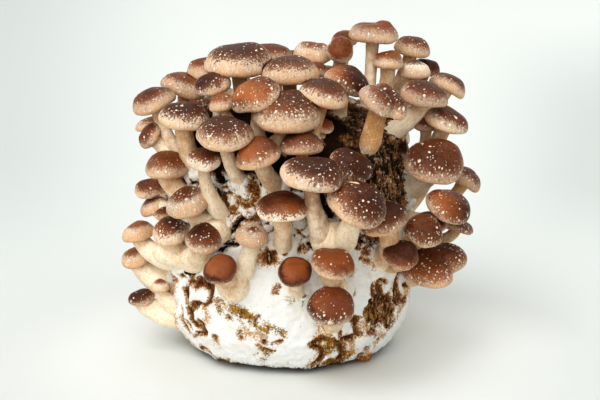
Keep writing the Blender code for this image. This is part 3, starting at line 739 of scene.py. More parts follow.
def stem_tone(row):
    """How tan a stem is, from 0 to 1."""
    return STEM_TONES.get(row.number, 0.25 + 0.1 * (row.number % 4))


def side_and_painted_light_of(row):
    """Towards which side a cap's skin changes, and how much warmer and darker it is there, on some caps as
    painted light.
    """
    return SIDES_AND_PAINTED_LIGHT.get(row.number, (137 * row.number % 360, 0.18, 0.25))


def look_of(row):
    """How a cap has coloured, as LOOKS has it, or by its number where it has no row there."""
    number = row.number
    if number in LOOKS:
        return [value if index == SLIP_TURN else value / 100 for index, value in enumerate(LOOKS[number])]
    of_three, of_four, of_five = number % 3, number % 4, number % 5
    return (
        0.76 + 0.05 * of_four, 0.25 + 0.11 * of_five, 0.35 + 0.17 * of_four, 0.4 + 0.12 * of_three,
        47 * number % 360, 0.1, 0.35 + 0.15 * of_five, 0.2 + 0.1 * of_three,
    )


def near_line(x, y, line, radius):
    """How near places are to a line on a cap, as 1 on it and 0 well away."""
    x0, y0, x1, y1, width = line
    start, way = np.array([x0, y0]) * radius, np.array([x1 - x0, y1 - y0]) * radius
    place = np.stack([x, y], 1) - start
    along = np.clip(place @ way / (way @ way), 0, 1)
    away = np.hypot(*(place - along[:, None] * way).T)
    return np.exp(-((away / width) ** 2))


def cap_outline(row, rng):
    """A cap's outline with its gills, the share from crown to rim of each point, and its crest."""
    rim_height = CAP_OUTLINE[RIM][1]
    corners = [(reach, rim_height + (height - rim_height) * (CROWN_RISE if height > rim_height else 1))
               for reach, height in CAP_OUTLINE]
    outline = curve_through(corners, RINGS_PER_STEP)
    neck = row.stem / 2 * NECK_JOIN / (row.across / 2)
    inward = np.linspace(0, 1, GILL_RINGS + 1)[1:]
    gills = np.stack([outline[-1, 0] + (neck - outline[-1, 0]) * inward,
                      outline[-1, 1] + (UNDERSIDE - outline[-1, 1]) * np.sqrt(inward)], 1)
    crest = rng.uniform(-0.05, 0.05, 2)
    outline[:, 1] *= 1 + rng.uniform(-0.03, 0.03)
    steps = np.hypot(*np.diff(outline * [1, row.plump], axis=0).T)
    length = np.concatenate([[0], np.cumsum(steps)])
    widest = length[np.argmax(outline[:, 0])]
    shares = np.concatenate([length / widest, 1.45 + 0.5 * inward])
    return np.concatenate([outline, gills]), shares, inward, crest


def cap_rings(row, around, rng):
    """A cap in its own axes: its rings of places, each ring's share from crown to rim, the
    turn of each point of a ring, and the number of the first ring of gills."""
    radius, thick = row.across / 2, row.across / 2 * row.plump
    outline, shares, inward, crest = cap_outline(row, rng)
    angle = ring_angles(around)
    phases = rng.uniform(0, math.tau, 6)
    lobes = sum(size * np.sin(times * angle + phase) for (size, times), phase in zip(LOBES, phases))
    if row.number in BITES:
        way, width, depth = BITES[row.number]
        off = (np.degrees(angle) - way + 180) % 360 - 180
        lobes = lobes - depth * np.exp(-((off / width) ** 2))
    wave = 0.05 * np.sin(2 * angle + phases[4]) + 0.03 * np.sin(3 * angle + phases[5])
    rings = []
    gill_start = len(outline) - GILL_RINGS
    for index, (reach, height) in enumerate(outline):
        gill = index - gill_start
        under = gill >= 0
        hold = min(reach / 0.6, 1) ** 2 * (inward[::-1][gill] if under else 1)
        spread = radius * reach * (1 + lobes * hold)
        ring = round_axis(angle, spread, thick * (height + wave * hold * (0.5 if under else 1)))
        if not under:
            ring[:, :2] += crest * radius * (1 - min(reach, 1))
        elif gill < GILL_RINGS - 1:
            comb = np.where(np.arange(around) % 2, -1, 1)
            ring[:, 2] += GILL_DEPTH * thick * comb * math.sin(math.pi * inward[gill])
        rings.append(ring)
    return rings, shares, angle, gill_start


def shape_cap(row, rings, gill_start):
    """Roughens a cap's skin, and presses its folds in: its rings, and how torn each point is."""
    radius, thick = row.across / 2, row.across / 2 * row.plump
    skin = np.concatenate(rings[:gill_start])
    out = skin - np.array([0, 0, -0.25 * thick])
    out /= np.linalg.norm(out, axis=1)[:, None]
    rise = 0.30 * rough(skin, 8.0, row.number) + 0.15 * rough(skin, 2.6, row.number + 40)
    on_top = smooth(out[:, 2], -0.1, 0.3)
    for *line, depth in FOLDS.get(row.number, []):
        rise -= depth * near_line(skin[:, 0], skin[:, 1], line, radius) * on_top
    skin = skin + out * rise[:, None]
    around = len(rings[0])
    torn = np.zeros(around * len(rings))
    for line in TEARS.get(row.number, []):
        tear = near_line(skin[:, 0], skin[:, 1], line, radius) * on_top
        torn[:len(skin)] = np.maximum(torn[:len(skin)], tear)
    return [*skin.reshape(gill_start, around, 3), *rings[gill_start:]], torn


def press(points, row, other):
    """Moves those points of a cap that lie in another cap out of it, towards their own side."""
    radius, thick = other.across / 2, other.across / 2 * other.plump
    axis = axis_of(other.lean)
    turn = frame_of(axis)
    half = np.array([radius, radius, 0.56 * thick]) + 0.15
    centre = np.array(Vector(other.cap) + axis * 0.03 * thick)
    way = np.array(row.cap) - centre
    u = (points - centre) @ turn.T / half
    v = turn @ way / half
    inside = (u**2).sum(1) < 1
    u = u[inside]
    a, b, c = v @ v, u @ v, (u**2).sum(1) - 1
    step = (-b + np.sqrt(b * b - a * c)) / a
    points = points.copy()
    points[inside] += step[:, None] * way
    return points


def grow(shell, row, rows):
    """Adds one mushroom to a shell: cap, gills and stem in one closed skin."""
    rng = np.random.default_rng(row.number)
    around = [count for width, count in AROUND_BY_WIDTH if row.across >= width][-1]
    rings, shares, angle, gill_start = cap_rings(row, around, rng)
    rings, torn = shape_cap(row, rings, gill_start)
    edge, warm, flecks, pale, slip_turn, slip, depth, gloss = look_of(row)
    radius = row.across / 2
    local = np.concatenate(rings)
    offset = rng.uniform(*OFFSETS)
    level = np.repeat(shares, around)
    angles = np.tile(angle, len(rings))
    comb = round_axis(angles, CAP_COMB_REACH, level * radius * CAP_COMB_PACE) + offset
    out = np.hypot(local[:, 0], local[:, 1]) / radius
    share = level - slip * np.cos(angles - math.radians(slip_turn - 90)) * out
    world = local @ frame_of(axis_of(row.lean)) + np.array(row.cap)
    for other in rows:
        near = (Vector(other.cap) - Vector(row.cap)).length < (other.across + row.across) / 2
        if other.number != row.number and near and DEPTH.dot(other.cap) < DEPTH.dot(row.cap):
            world = press(world, row, other)
    # On some caps the side towards the light is painted warmer and paler, as painted light.
    side_turn, warmer, darker = side_and_painted_light_of(row)
    towards = np.cos(angles - math.radians(side_turn - 90)) * np.minimum(out, 1)
    even = np.ones(len(world))
    look = np.stack([edge * even, np.clip(warm + warmer * towards, 0, 1), flecks * even], 1)
    crisp = CRISP.get(row.number, USUAL_CRISP)
    tone = np.stack([depth + darker * towards, gloss * even, crisp * even], 1)
    first = shell.add(
        world, place=local + offset, comb=comb, look=look, share=share, pale=pale, tone=tone, torn=torn)
    # The innermost ring is the crown itself: one point is enough for it.
    shell.fan(first + around, first, around, CAP)
    for index in range(1, len(rings) - 1):
        kind = CAP if index < gill_start else GILLS
        shell.bridge(first + index * around, first + (index + 1) * around, around, kind)
    grow_stem(shell, row, rng, first + (len(rings) - 1) * around, around)


def grow_stem(shell, row, rng, last, around):
    """Adds the stem below a cap, from the ring of the cap's points that it hangs on."""
    half = around // 2
    axis = axis_of(row.lean)
    path = stem_path(row)
    angle = ring_angles(half)
    upright = Vector((0, 0, 1)).rotation_difference(axis)
    phases = rng.uniform(0, math.tau, 4)
    offset = rng.uniform(*OFFSETS)
    length = (Vector(row.cap) - foot_place(row.root)).length
    out_of_block = outward(row.root)
    previous = last
    for index in range(STEM_RINGS):
        share = 1 - index / (STEM_RINGS - 1)
        middle, direction = path(share)
        settle = max(0.0, 1 - share / FOOT_SETTLE)
        middle = middle - out_of_block * FOOT_SINK * settle**2
        direction = (direction * (1 - settle) + out_of_block * settle).normalized()
        ring_turn = axis.rotation_difference(direction) @ upright
        wide = row.stem / 2 * swelling(row, share)
        wide *= 1 + NECK_WIDENING * max(0.0, share - NECK_START) / NECK_LENGTH
        outline = wide * (1 + 0.05 * np.sin(2 * angle + phases[0] + share * 2)
                          + 0.03 * np.sin(3 * angle + phases[1] - share * 3)
                          + 0.03 * math.sin(7 * share + phases[2]))
        if share < FOOT_SETTLE and row.number not in BULBS:
            outline = outline * (1 + 0.2 * settle**2 + 0.06 * settle * np.sin(5 * angle + phases[3]))
        along = share * length
        flat = round_axis(angle, outline, 0.0)
        place = flat + [0, 0, along] + offset
        fibre = round_axis(angle, STEM_COMB_REACH, along * STEM_COMB_PACE) + offset
        ridge = 0.16 * rough(fibre, 1.1) + 0.22 * rough(place, 4.5)
        flat *= 1 + (ridge / wide)[:, None]
        world = flat @ np.array(ring_turn.to_matrix()).T + np.array(middle)
        neck = (NECK_TONES.get(row.number, USUAL_NECK_TONE), 0, 0)
        ring = shell.add(world, place=place, comb=fibre, look=neck, share=share, pale=stem_tone(row))
        if index == 0:
            shell.halve(previous, ring, around, STEM)
        else:
            shell.bridge(previous, ring, half, STEM)
        previous = ring
    shell.fan(previous, shell.add(np.array([middle])), half, STEM)


def grow_web(shell, number, middle, half):
    """Adds the swollen flesh between the stems of one foot."""
    angle = ring_angles(WEB_AROUND)
    shift = number * 31.0
    low, high = (np.array([[middle[0], middle[1], middle[2] + half[2] * level]]) for level in (-1, 1))
    bottom = shell.add(low, share=WEB_SHARE)
    rings = []
    for level in np.linspace(-1, 1, WEB_RINGS)[1:-1]:
        ring = round_axis(angle, math.sqrt(1 - level * level), level) * half
        place = ring + shift
        ring = ring * (1 + 0.05 * rough(place, 4.0))[:, None] + middle
        fibre = round_axis(angle, STEM_COMB_REACH, level * 2) + shift
        tan = STEM_TONES[number]
        rings.append(shell.add(ring, place=place, comb=fibre, share=WEB_SHARE, pale=tan))
    top = shell.add(high, share=WEB_SHARE)
    shell.fan(rings[0], bottom, WEB_AROUND, STEM)
    for lower, upper in zip(rings, rings[1:]):
        shell.bridge(lower, upper, WEB_AROUND, STEM)
    shell.fan(rings[-1], top, WEB_AROUND, STEM)


def grow_group(numbers, rows, materials):
    """One piece of the frame as one dressed piece."""
    by_number = {row.number: row for row in rows}
    shell = Shell()
    for number in numbers:
        grow(shell, by_number[number], rows)
    if numbers[0] in WEBS:
        grow_web(shell, numbers[0], *WEBS[numbers[0]])
    node = node_of(numbers)
    piece = shell.object(f"{node}_grown", materials)
    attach(piece, "root")
    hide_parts(node)


# ---- the block
def block_rings():
    """Radius and height of the block's rings, from the middle of its underside to its top."""
    side = [(radius, height) for height, radius in BLOCK_OUTLINE[2:]]
    corners = [(0, 0)] + [(radius, height) for height, radius in UNDERCUT] + curve_through(side, 6).tolist()
    corners = np.array(corners, float)
    steps = np.hypot(*np.diff(corners, axis=0).T)
    middle = (corners[1:] + corners[:-1]) / 2
    pace = np.where(middle[:, 1] > TOP_STEP_START, TOP_STEP, SIDE_STEP)
    pace[middle[:, 1] < SIDE_STEP_START] = UNDER_STEP
    count = np.concatenate([[0], np.cumsum(steps / pace)])
    even = np.linspace(0, count[-1], int(round(count[-1])) + 1)
    return np.stack([np.interp(even, count, corners[:, 0]), np.interp(even, count, corners[:, 1])], 1)


def block_grid(rings):
    """The points of the rings between the two poles, and the way straight out at each."""
    front_turns = np.linspace(-FRONT_TURN, FRONT_TURN, FRONT_STEPS, endpoint=False)
    far_turns = np.linspace(FRONT_TURN, 360 - FRONT_TURN, FAR_STEPS, endpoint=False)
    angle = np.radians(np.concatenate([front_turns, far_turns]))
    right, front = np.sin(angle), -np.cos(angle)

    def turned(reach, height):
        heights = np.repeat(height[:, None], BLOCK_AROUND, 1)
        return np.stack([np.outer(reach, right), np.outer(reach, front), heights], 2).reshape(-1, 3)

    slope = np.gradient(rings, axis=0)[1:-1]
    slope /= np.linalg.norm(slope, axis=1)[:, None]
    return turned(rings[1:-1, 0], rings[1:-1, 1]), turned(slope[:, 1], -slope[:, 0])


def foot_collars(grid, rows):
    """How deep in the collar of mycelium round a stem's foot each point is, from 0 to 1."""
    collar = np.zeros(len(grid))
    for row in rows:
        wide = row.stem / 2 * swelling(row, 0) * 1.1
        away = np.linalg.norm(grid - np.array(foot_place(row.root)), axis=1)
        collar = np.maximum(collar, 1 - smooth(away, wide * 0.9, wide + COLLAR_WIDTH))
    return collar


def build_block(settings, rows, skin):
    """The block as one closed skin: lumps, open places, holes, and collars round the stems' feet."""
    rings = block_rings()
    grid, out = block_grid(rings)
    height = grid[:, 2]
    turn, degree = on_skin(grid)

    broad = rough(grid, 30, 1)
    middling = rough(grid, 11, 2)
    fine = rough(grid, 4.2, 3)
    tiny = rough(grid, 1.9, 4)
    upright = rough(grid * [1, 1, 0.35], 2.4, 5)

    unseen = smooth(np.abs(turn), 70, 90)
    popcorn = smooth(height + 4 * middling, 80, 90) * (1 - unseen)
    column = smooth(turn, 33, 41) * (1 - smooth(turn, 66, 74)) * smooth(height - 0.9 * (turn - 50), 82, 92)
    crown = smooth(height + 6 * middling, 122, 132)
    # Marks and lumps wander, and the marks vary in width.
    astray = grid + np.stack([rough(grid, 8, seed) for seed in (11, 12, 13)], 1) * 3.2
    lump_edge = cell_edges(astray, 7.2)
    cracks = 1 - smooth(lump_edge, 0.0, 0.18)
    swell = 1.5 * rough(grid, 5.5, 14)

    # Each is how far inside the mark a point is, in millimetres.
    kinds = (
        (RUST_STROKES, 1), (HOLE_STROKES, 0.6), (FLAKE_STROKES, 1), (GOLD_STROKES, 1.2), (TAN_STROKES, 1),
    )
    marks = [inside_strokes(astray, strokes) + sway * swell for strokes, sway in kinds]
    bare, hole, flake, crust, tan = marks
    tan = tan + 1.0
    brown = round_places(grid, BROWN_LUMPS)
    scattered = 3.0 * (1.1 * rough(grid, 20, 6) + 0.7 * fine - 0.30)
    bare = np.maximum(bare, np.where(unseen > 0, scattered - 6 * (1 - unseen), WELL_OUTSIDE))
    crumbs = popcorn * (2.7 * cracks + 1.2 * middling + 0.9 * fine)
    pits = popcorn * (1.7 * cracks + 2.2 * rough(grid, 9, 8))
    bare = np.maximum(bare, crumbs - 2.0 - 4 * (1 - popcorn))
    hole = np.maximum(hole, pits - 2.3 - 4 * (1 - popcorn))
    flake = np.maximum(flake, 5 * column - 2.5 + fine)
    bare = np.maximum(bare, 6 * crown - 3 - 7 * unseen * smooth(rough(grid, 13, 15), -0.15, 0.35))
    crust = np.maximum(crust, unseen * (3.5 * rough(grid, 17, 7) + 1.2 * fine) - 2.2 - 4 * (1 - unseen))
    collar = foot_collars(grid, rows)
    bare -= (2.6 + 3.0 * crown) * smooth(collar, 0.25, 0.9) * (1 - column)
    flake -= 4 * smooth(collar, 0.3, 0.9) * (1 - 0.8 * column)

    open_skin = smooth(np.maximum(bare, flake), -0.4, 0.5)
    lumpy = popcorn * (1 - crown) * (1 - column)
    rise = 0.9 * broad + 0.6 * middling + (1 - open_skin) * (0.72 * fine + 0.46 * tiny)
    rise = rise + lumpy * (2.6 * smooth(lump_edge, 0.0, 0.5) - 1.4)
    rise += open_skin * (-settings.relief / MM + 0.35 * tiny + 0.35 * fine)
    rise += smooth(flake, -0.5, 1) * (2.0 * upright + 0.6 * tiny)
    rise -= 2.4 * column * smooth(rough(grid * [1, 1, 0.6], 7, 9), 0.05, 0.40)
    rise -= 2.6 * smooth(hole, -0.5, 1.2) * (1 - collar)
    rise += 0.8 * smooth(crust, -0.6, 0.8) * (0.4 + 1.4 * tiny + fine)
    for place_turn, place_height, reach, lift in LUMPS:
        away = np.hypot((turn - place_turn) * degree, height - place_height) / reach
        rise += lift * np.sqrt(np.clip(1 - away * away, 0, 1))
    rise += 2.2 * collar
    grid = grid + out * (rise * smooth(height, 0.2, 5))[:, None]
    grid[:, 2] = np.maximum(grid[:, 2], 0)

    shell = Shell()
    under = shell.add(np.array([[0, 0, 0.0]]), look=(WELL_OUTSIDE,) * 3)
    first = shell.add(
        grid, place=grid, look=np.stack([bare, crust, hole], 1), tone=np.stack([flake, collar, popcorn], 1),
        comb=np.stack([tan, unseen, column], 1), share=crown, pale=brown)
    top = shell.add(np.array([[0, 0, rings[-1, 1]]]), look=(3, WELL_OUTSIDE, WELL_OUTSIDE), share=1.0)
    last = first + (len(rings) - 3) * BLOCK_AROUND
    shell.fan(first, under, BLOCK_AROUND, 0)
    for ring in range(first, last, BLOCK_AROUND):
        shell.bridge(ring, ring + BLOCK_AROUND, BLOCK_AROUND, 0)
    shell.fan(last, top, BLOCK_AROUND, 0)
    piece = shell.object("block_grown", [skin])
    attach(piece, "root")
    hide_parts("block")


# ---- shader helpers
class Signal:
    """A value that runs through a shader tree, and can stand in sums."""

    def __init__(self, tree, socket):
        self.tree, self.socket = tree, socket

    def __add__(self, other):
        return self.tree.math("ADD", self, other)

    def __sub__(self, other):
        return self.tree.math("SUBTRACT", self, other)

    def __rsub__(self, other):
        return self.tree.math("SUBTRACT", other, self)

    def __mul__(self, other):
        return self.tree.math("MULTIPLY", self, other)

    def __truediv__(self, other):
        return self.tree.math("DIVIDE", self, other)

    def most(self, other):
        """The larger of the two."""
        return self.tree.math("MAXIMUM", self, other)

    def step(self, low, high):
        """0 up to low, 1 from high on and a soft step between; it falls where low is the larger."""
        inputs = {"Value": self, "From Min": low, "From Max": high}
        return self.tree.value("ShaderNodeMapRange", inputs, interpolation_type="SMOOTHSTEP")


class Tree:
    """Adds nodes to a shader tree, each with its inputs set or linked."""

    def __init__(self, tree, colours=None):
        self.tree, self.colours = tree, colours

    def put(self, socket, value):
        """Links or sets a socket; a word stands for the colour of that name in the settings."""
        if isinstance(value, Signal):
            self.tree.links.new(value.socket, socket)
        elif isinstance(value, str):
            socket.default_value = (*getattr(self.colours, value), 1.0)
        else:
            socket.default_value = value

    def node(self, kind, inputs, **settings):
        """A new node; its inputs by name or number, and its own settings."""
        made = self.tree.nodes.new(kind)
        for name, value in settings.items():
            setattr(made, name, value)
        for name, value in inputs.items():
            self.put(made.inputs[name], value)
        return made

    def outputs(self, kind, inputs, **settings):
        """All that a new node puts out, by name."""
        return {each.name: Signal(self, each) for each in self.node(kind, inputs, **settings).outputs}

    def value(self, kind, inputs, output=0, **settings):
        """One thing that a new node puts out."""
        return Signal(self, self.node(kind, inputs, **settings).outputs[output])

    def math(self, operation, *values):
        return self.value("ShaderNodeMath", dict(enumerate(values)), operation=operation)

    def vector(self, operation, first, second, output=0):
        return self.value("ShaderNodeVectorMath", {0: first, 1: second}, output, operation=operation)

    def mix(self, factor, first, second):
        """A colour between two."""
        return self.value("ShaderNodeMix", {0: factor, 6: first, 7: second}, 2, data_type="RGBA")

    def blend(self, factor, first, second):
        """A number between two."""
        return self.value("ShaderNodeMix", {0: factor, 2: first, 3: second})

    def coats(self, base, *coats):
        """Lays each colour over the ones before it where its mask says."""
        for mask, colour in coats:
            base = self.mix(mask, base, colour)
        return base

    def noise(self, vector, scale, detail=3.0, roughness=0.55):
        inputs = {"Vector": vector, "Scale": scale, "Detail": detail, "Roughness": roughness}
        return self.value("ShaderNodeTexNoise", inputs)

    def cells(self, vector, scale):
        return self.outputs("ShaderNodeTexVoronoi", {"Vector": vector, "Scale": scale})

    def attribute(self, name):
        output = {3: "Vector", 1: "Fac"}[Shell.VALUES[name]]
        return self.value("ShaderNodeAttribute", {}, output, attribute_name=name)

    def attributes(self, *names):
        return [self.attribute(name) for name in names]

    def parts(self, vector):
        """The three parts of a vector or a colour."""
        return list(self.outputs("ShaderNodeSeparateXYZ", {0: vector}).values())

    def use(self, group, **inputs):
        """Places a shared group, with its inputs by name, and gives what it puts out."""
        inputs = {name.replace("_", " "): value for name, value in inputs.items()}
        return self.outputs("ShaderNodeGroup", inputs, node_tree=bpy.data.node_groups[group])

    def flecks(self, place, number, size, amount):
        """The mask of flecks: cells to a millimetre, size of a fleck, share of cells with one."""
        inputs = {"Place": place, "Per_Millimetre": number, "Size": size, "Amount": amount}
        return self.use("scattered_flecks", **inputs)["Mask"]

    def bump(self, height, strength, distance):
        return self.value("ShaderNodeBump", {"Height": height, "Strength": strength, "Distance": distance})

    def surface(self, **inputs):
        """Links or sets the shader's own sockets."""
        for name, value in inputs.items():
            self.put(self.tree.nodes["Principled BSDF"].inputs[name.replace("_", " ")], value)


def new_group(name, inputs, outputs):
    """An empty shader group with its named sockets: its Tree, what goes in, and what comes out."""
    group = bpy.data.node_groups.new(name, "ShaderNodeTree")
    for label, default in inputs.items():
        kind = "NodeSocketVector" if default == ORIGIN else "NodeSocketFloat"
        group.interface.new_socket(label, in_out="INPUT", socket_type=kind).default_value = default
    for label in outputs:
        group.interface.new_socket(label, in_out="OUTPUT", socket_type="NodeSocketFloat")
    tree = Tree(group)
    given = tree.outputs("NodeGroupInput", {})
    return tree, given, tree.node("NodeGroupOutput", {}).inputs


def flecks_group(name):
    """Small round pale flecks, of mixed sizes, scattered through space."""
    inputs = {"Place": ORIGIN, "Per Millimetre": 0.5, "Size": 0.3, "Amount": 0.5}
    tree, given, result = new_group(name, inputs, ["Mask"])
    wobble = tree.noise(given["Place"], 1.3, 2.0)
    cells = tree.cells(tree.vector("ADD", given["Place"], wobble), given["Per Millimetre"])
    chance = tree.parts(cells["Color"])
    there = tree.math("LESS_THAN", chance[0], given["Amount"])
    size = given["Size"] * (chance[1] * 0.8 + 0.35)
    tree.put(result["Mask"], there * (size - cells["Distance"]).step(0.0, 0.14))


def ragged_group(name):
    """A border between two finishes that runs in and out like a comb."""
    inputs = {"Share": 0.5, "Edge": 0.5, "Comb": ORIGIN, "Fineness": 1.0, "Depth": 0.3, "Softness": 0.05}
    tree, given, result = new_group(name, inputs, ["Mask"])
    teeth = tree.noise(given["Comb"], given["Fineness"], 3.0, 0.65) - 0.5
    past = given["Share"] + teeth * given["Depth"] - given["Edge"]
    tree.put(result["Mask"], past.step(given["Softness"] * -1.0, given["Softness"]))


def stipple_group(name):
    """A border that runs in and out like a fine comb, and breaks up into round dots."""
    inputs = {
        "Past": 0.0, "Place": ORIGIN, "Comb": ORIGIN, "Dots Per Millimetre": 0.6, "Dots": 0.4, "Teeth": 0.2,
        "Softness": 0.05,
    }
    tree, given, result = new_group(name, inputs, ["Mask", "Field"])
    cells = tree.cells(given["Place"], given["Dots Per Millimetre"])
    dot = (0.42 - cells["Distance"]) * (tree.parts(cells["Color"])[0] + 0.3)
    teeth = tree.noise(given["Comb"], 1.15, 4.0, 0.7) - 0.5
    moved = given["Past"] + dot * given["Dots"] + teeth * given["Teeth"]
    tree.put(result["Mask"], moved.step(given["Softness"] * -1.0, given["Softness"]))
    tree.put(result["Field"], moved)


def grain_group(name):
    """Soft cloudy variation, and fine fibres."""
    inputs = {"Place": ORIGIN, "Comb": ORIGIN, "Cloud Scale": 0.2, "Fibre Scale": 1.5}
    tree, given, result = new_group(name, inputs, ["Cloud", "Fibre"])
    tree.put(result["Cloud"], tree.noise(given["Place"], given["Cloud Scale"], 3.0))
    tree.put(result["Fibre"], tree.noise(given["Comb"], given["Fibre Scale"], 4.0, 0.7))


GROUPS = {
    "scattered_flecks": flecks_group, "ragged_border": ragged_group, "stippled_border": stipple_group,
    "cloud_and_fibre": grain_group,
}


# ---- materials
def cap_material(tree):
    """Dark skin at the crown, broken by pale flecks, that ends in dots and a comb over a pale rim."""
    place, comb, share, pale, torn = tree.attributes("place", "comb", "share", "pale", "torn")
    edge, warm, flecks = tree.parts(tree.attribute("look"))
    depth, gloss, crisp = tree.parts(tree.attribute("tone"))
    grain = tree.use("cloud_and_fibre", Place=place, Comb=comb, Cloud_Scale=0.15, Fibre_Scale=1.25)
    cloud, fibre = grain["Cloud"] - 0.5, grain["Fibre"]
    mottle = tree.noise(place, 0.60, 4.0, 0.7) - 0.5

    # How far past the edge of the dark skin, in shares of the way from crown to rim.
    past = share - edge + cloud * 0.40
    border = tree.use(
        "stippled_border", Past=past, Place=place, Comb=comb, Dots_Per_Millimetre=0.85,
        Dots=tree.blend(crisp, 0.28, 0.42), Teeth=tree.blend(crisp, 0.20, 0.36),
        Softness=tree.blend(crisp, 0.27, 0.09))

    # The crown is darkest, or on some caps the brown darkens from the crown to the border.
    inside = past.step(-0.55, 0.05)
    darkness = depth.most(0.0) * (1.05 - inside * 0.48) + (depth * -2.3).most(0.0) * inside
    darkness = darkness + cloud * 1.1 + (fibre - 0.5) * 0.8 + mottle * 0.9
    brown = tree.mix(warm + cloud * 1.3, "cap_red_brown", "cap_orange")
    dark = tree.mix(warm * 0.35, "cap_dark", "cap_red_brown")
    # Pale fibres lie over the dark skin where it thins out.
    frost = past.step(-0.60, 0.05) * fibre.step(0.54, 0.68) * (flecks * 0.36 + 0.04)
    skin = tree.coats(
        tree.mix(darkness.step(0.0, 1.0), brown, dark),
        (past.step(-0.26, 0.04) * (0.55 - warm * 0.30), "cap_plum"),
        (frost, "rim_cream"))

    speckle = tree.noise(place, 1.15, 4.0, 0.7)
    rim = tree.coats(
        tree.mix(pale, "rim_tan", "rim_cream"),
        (pale.step(0.65, 1.0) * 0.60, "fleck"),
        (warm.step(0.30, 0.10) * 0.50, "cap_plum"),
        (past.step(0.10, 0.60) * 0.50, "rim_tan"),
        (fibre.step(0.48, 0.66) * (0.62 - past.step(0.0, 0.45) * 0.36), "cap_plum"),
        (speckle.step(0.52, 0.70) * 0.50, "cap_plum"),
        (speckle.step(0.48, 0.32) * 0.45, "fleck"),
        ((1.0 - border["Field"].step(0.02, 0.30)) * (pale * 0.50 + 0.10), "fleck"),
        (grain["Cloud"].step(0.48, 0.66) * 0.50, "rim_tan"))

    amount = flecks * (past.step(-0.65, -0.10) * 0.60 + 0.16)
    stretched = tree.vector("MULTIPLY", place, (1.0, 1.0, 0.7))
    large = tree.flecks(stretched, 0.20, 0.25, flecks * 0.32) * (1.0 - past.step(0.00, 0.30))
    small = tree.flecks(stretched, 0.42, 0.36, amount)
    tiny = tree.flecks(stretched, 0.66, 0.40, amount) * 0.8
    spots = small.most(large).most(tiny) * (1.0 - share.step(0.98, 1.2))
    base = tree.coats(
        tree.mix(border["Mask"], skin, rim),
        (spots * 0.92, "fleck"),
        ((torn + mottle * 2.0).step(0.45, 0.75), "rim_cream"))
    matt = tree.blend(spots, tree.blend(border["Mask"], tree.blend(gloss, 0.43, 0.26), 0.75), 0.85)
    height = spots * 0.7 + fibre * 0.30 + border["Mask"] * 0.40
    bump = tree.bump(height, 0.8, 0.0008)
    tree.surface(Base_Color=base, Roughness=matt, Specular_IOR_Level=0.25, Normal=bump)


def gill_material(tree):
    """Pale gills, fibrous from the rim to the stem."""
    place, comb = tree.attributes("place", "comb")
    grain = tree.use("cloud_and_fibre", Place=place, Comb=comb, Cloud_Scale=0.2, Fibre_Scale=2.4)
    base = tree.mix(grain["Fibre"], "gill", "rim_cream")
    base = tree.mix(grain["Cloud"].step(0.5, 0.8) * 0.4, base, "rim_tan")
    tree.surface(Base_Color=base, Roughness=0.75, Normal=tree.bump(grain["Fibre"], 0.7, 0.0005))


def stem_material(tree):
    """Cream stems with long fibres, fine brown scales and a fuzzy foot, painted darker towards the neck as
    shade under the cap.
    """
    place, comb, share, tan = tree.attributes("place", "comb", "share", "pale")
    neck = tree.parts(tree.attribute("look"))[0]
    grain = tree.use("cloud_and_fibre", Place=place, Comb=comb, Cloud_Scale=0.14, Fibre_Scale=1.25)
    cloud, fibre = grain["Cloud"] - 0.5, grain["Fibre"]
    felt = tree.noise(place, 0.95, 4.0, 0.7)
    # The stem's own tan and random clouds, and painted shade: the stem is painted darker towards its neck,
    # under the cap.
    tone_and_painted_neck_shade = tan + cloud * 1.5 + share.step(0.30, 0.95) * 0.30
    scales = tree.flecks(tree.vector("MULTIPLY", place, (1.0, 1.0, 0.6)), 0.85, 0.32, tan * 0.38 + 0.05)
    base = tree.coats(
        tree.mix(tone_and_painted_neck_shade.step(-0.05, 1.10), "stem", "stem_tan"),
        (fibre.step(0.50, 0.66) * 0.48, "stem_tan"),
        (felt.step(0.50, 0.34) * 0.55, "fleck"),
        (felt.step(0.54, 0.70) * 0.45, "stem_tan"),
        ((share + cloud * 0.8).step(0.35, 0.95) * (neck * 0.75), "stem_scale"),
        (scales * 0.60, "stem_scale"))
    foot = tree.use(
        "ragged_border", Share=share, Edge=0.20, Comb=comb, Fineness=0.9, Depth=0.35, Softness=0.10)
    fuzz = tree.flecks(place, 0.9, 0.34, 0.22)
    base = tree.coats(tree.mix(foot["Mask"], "stem_foot", base), (fuzz * 0.45, "fleck"))
    height = fibre + fuzz * 0.4 - scales * 0.3
    bump = tree.bump(height, 0.9, 0.0010)
    tree.surface(Base_Color=base, Roughness=0.78, Specular_IOR_Level=0.25, Normal=bump)


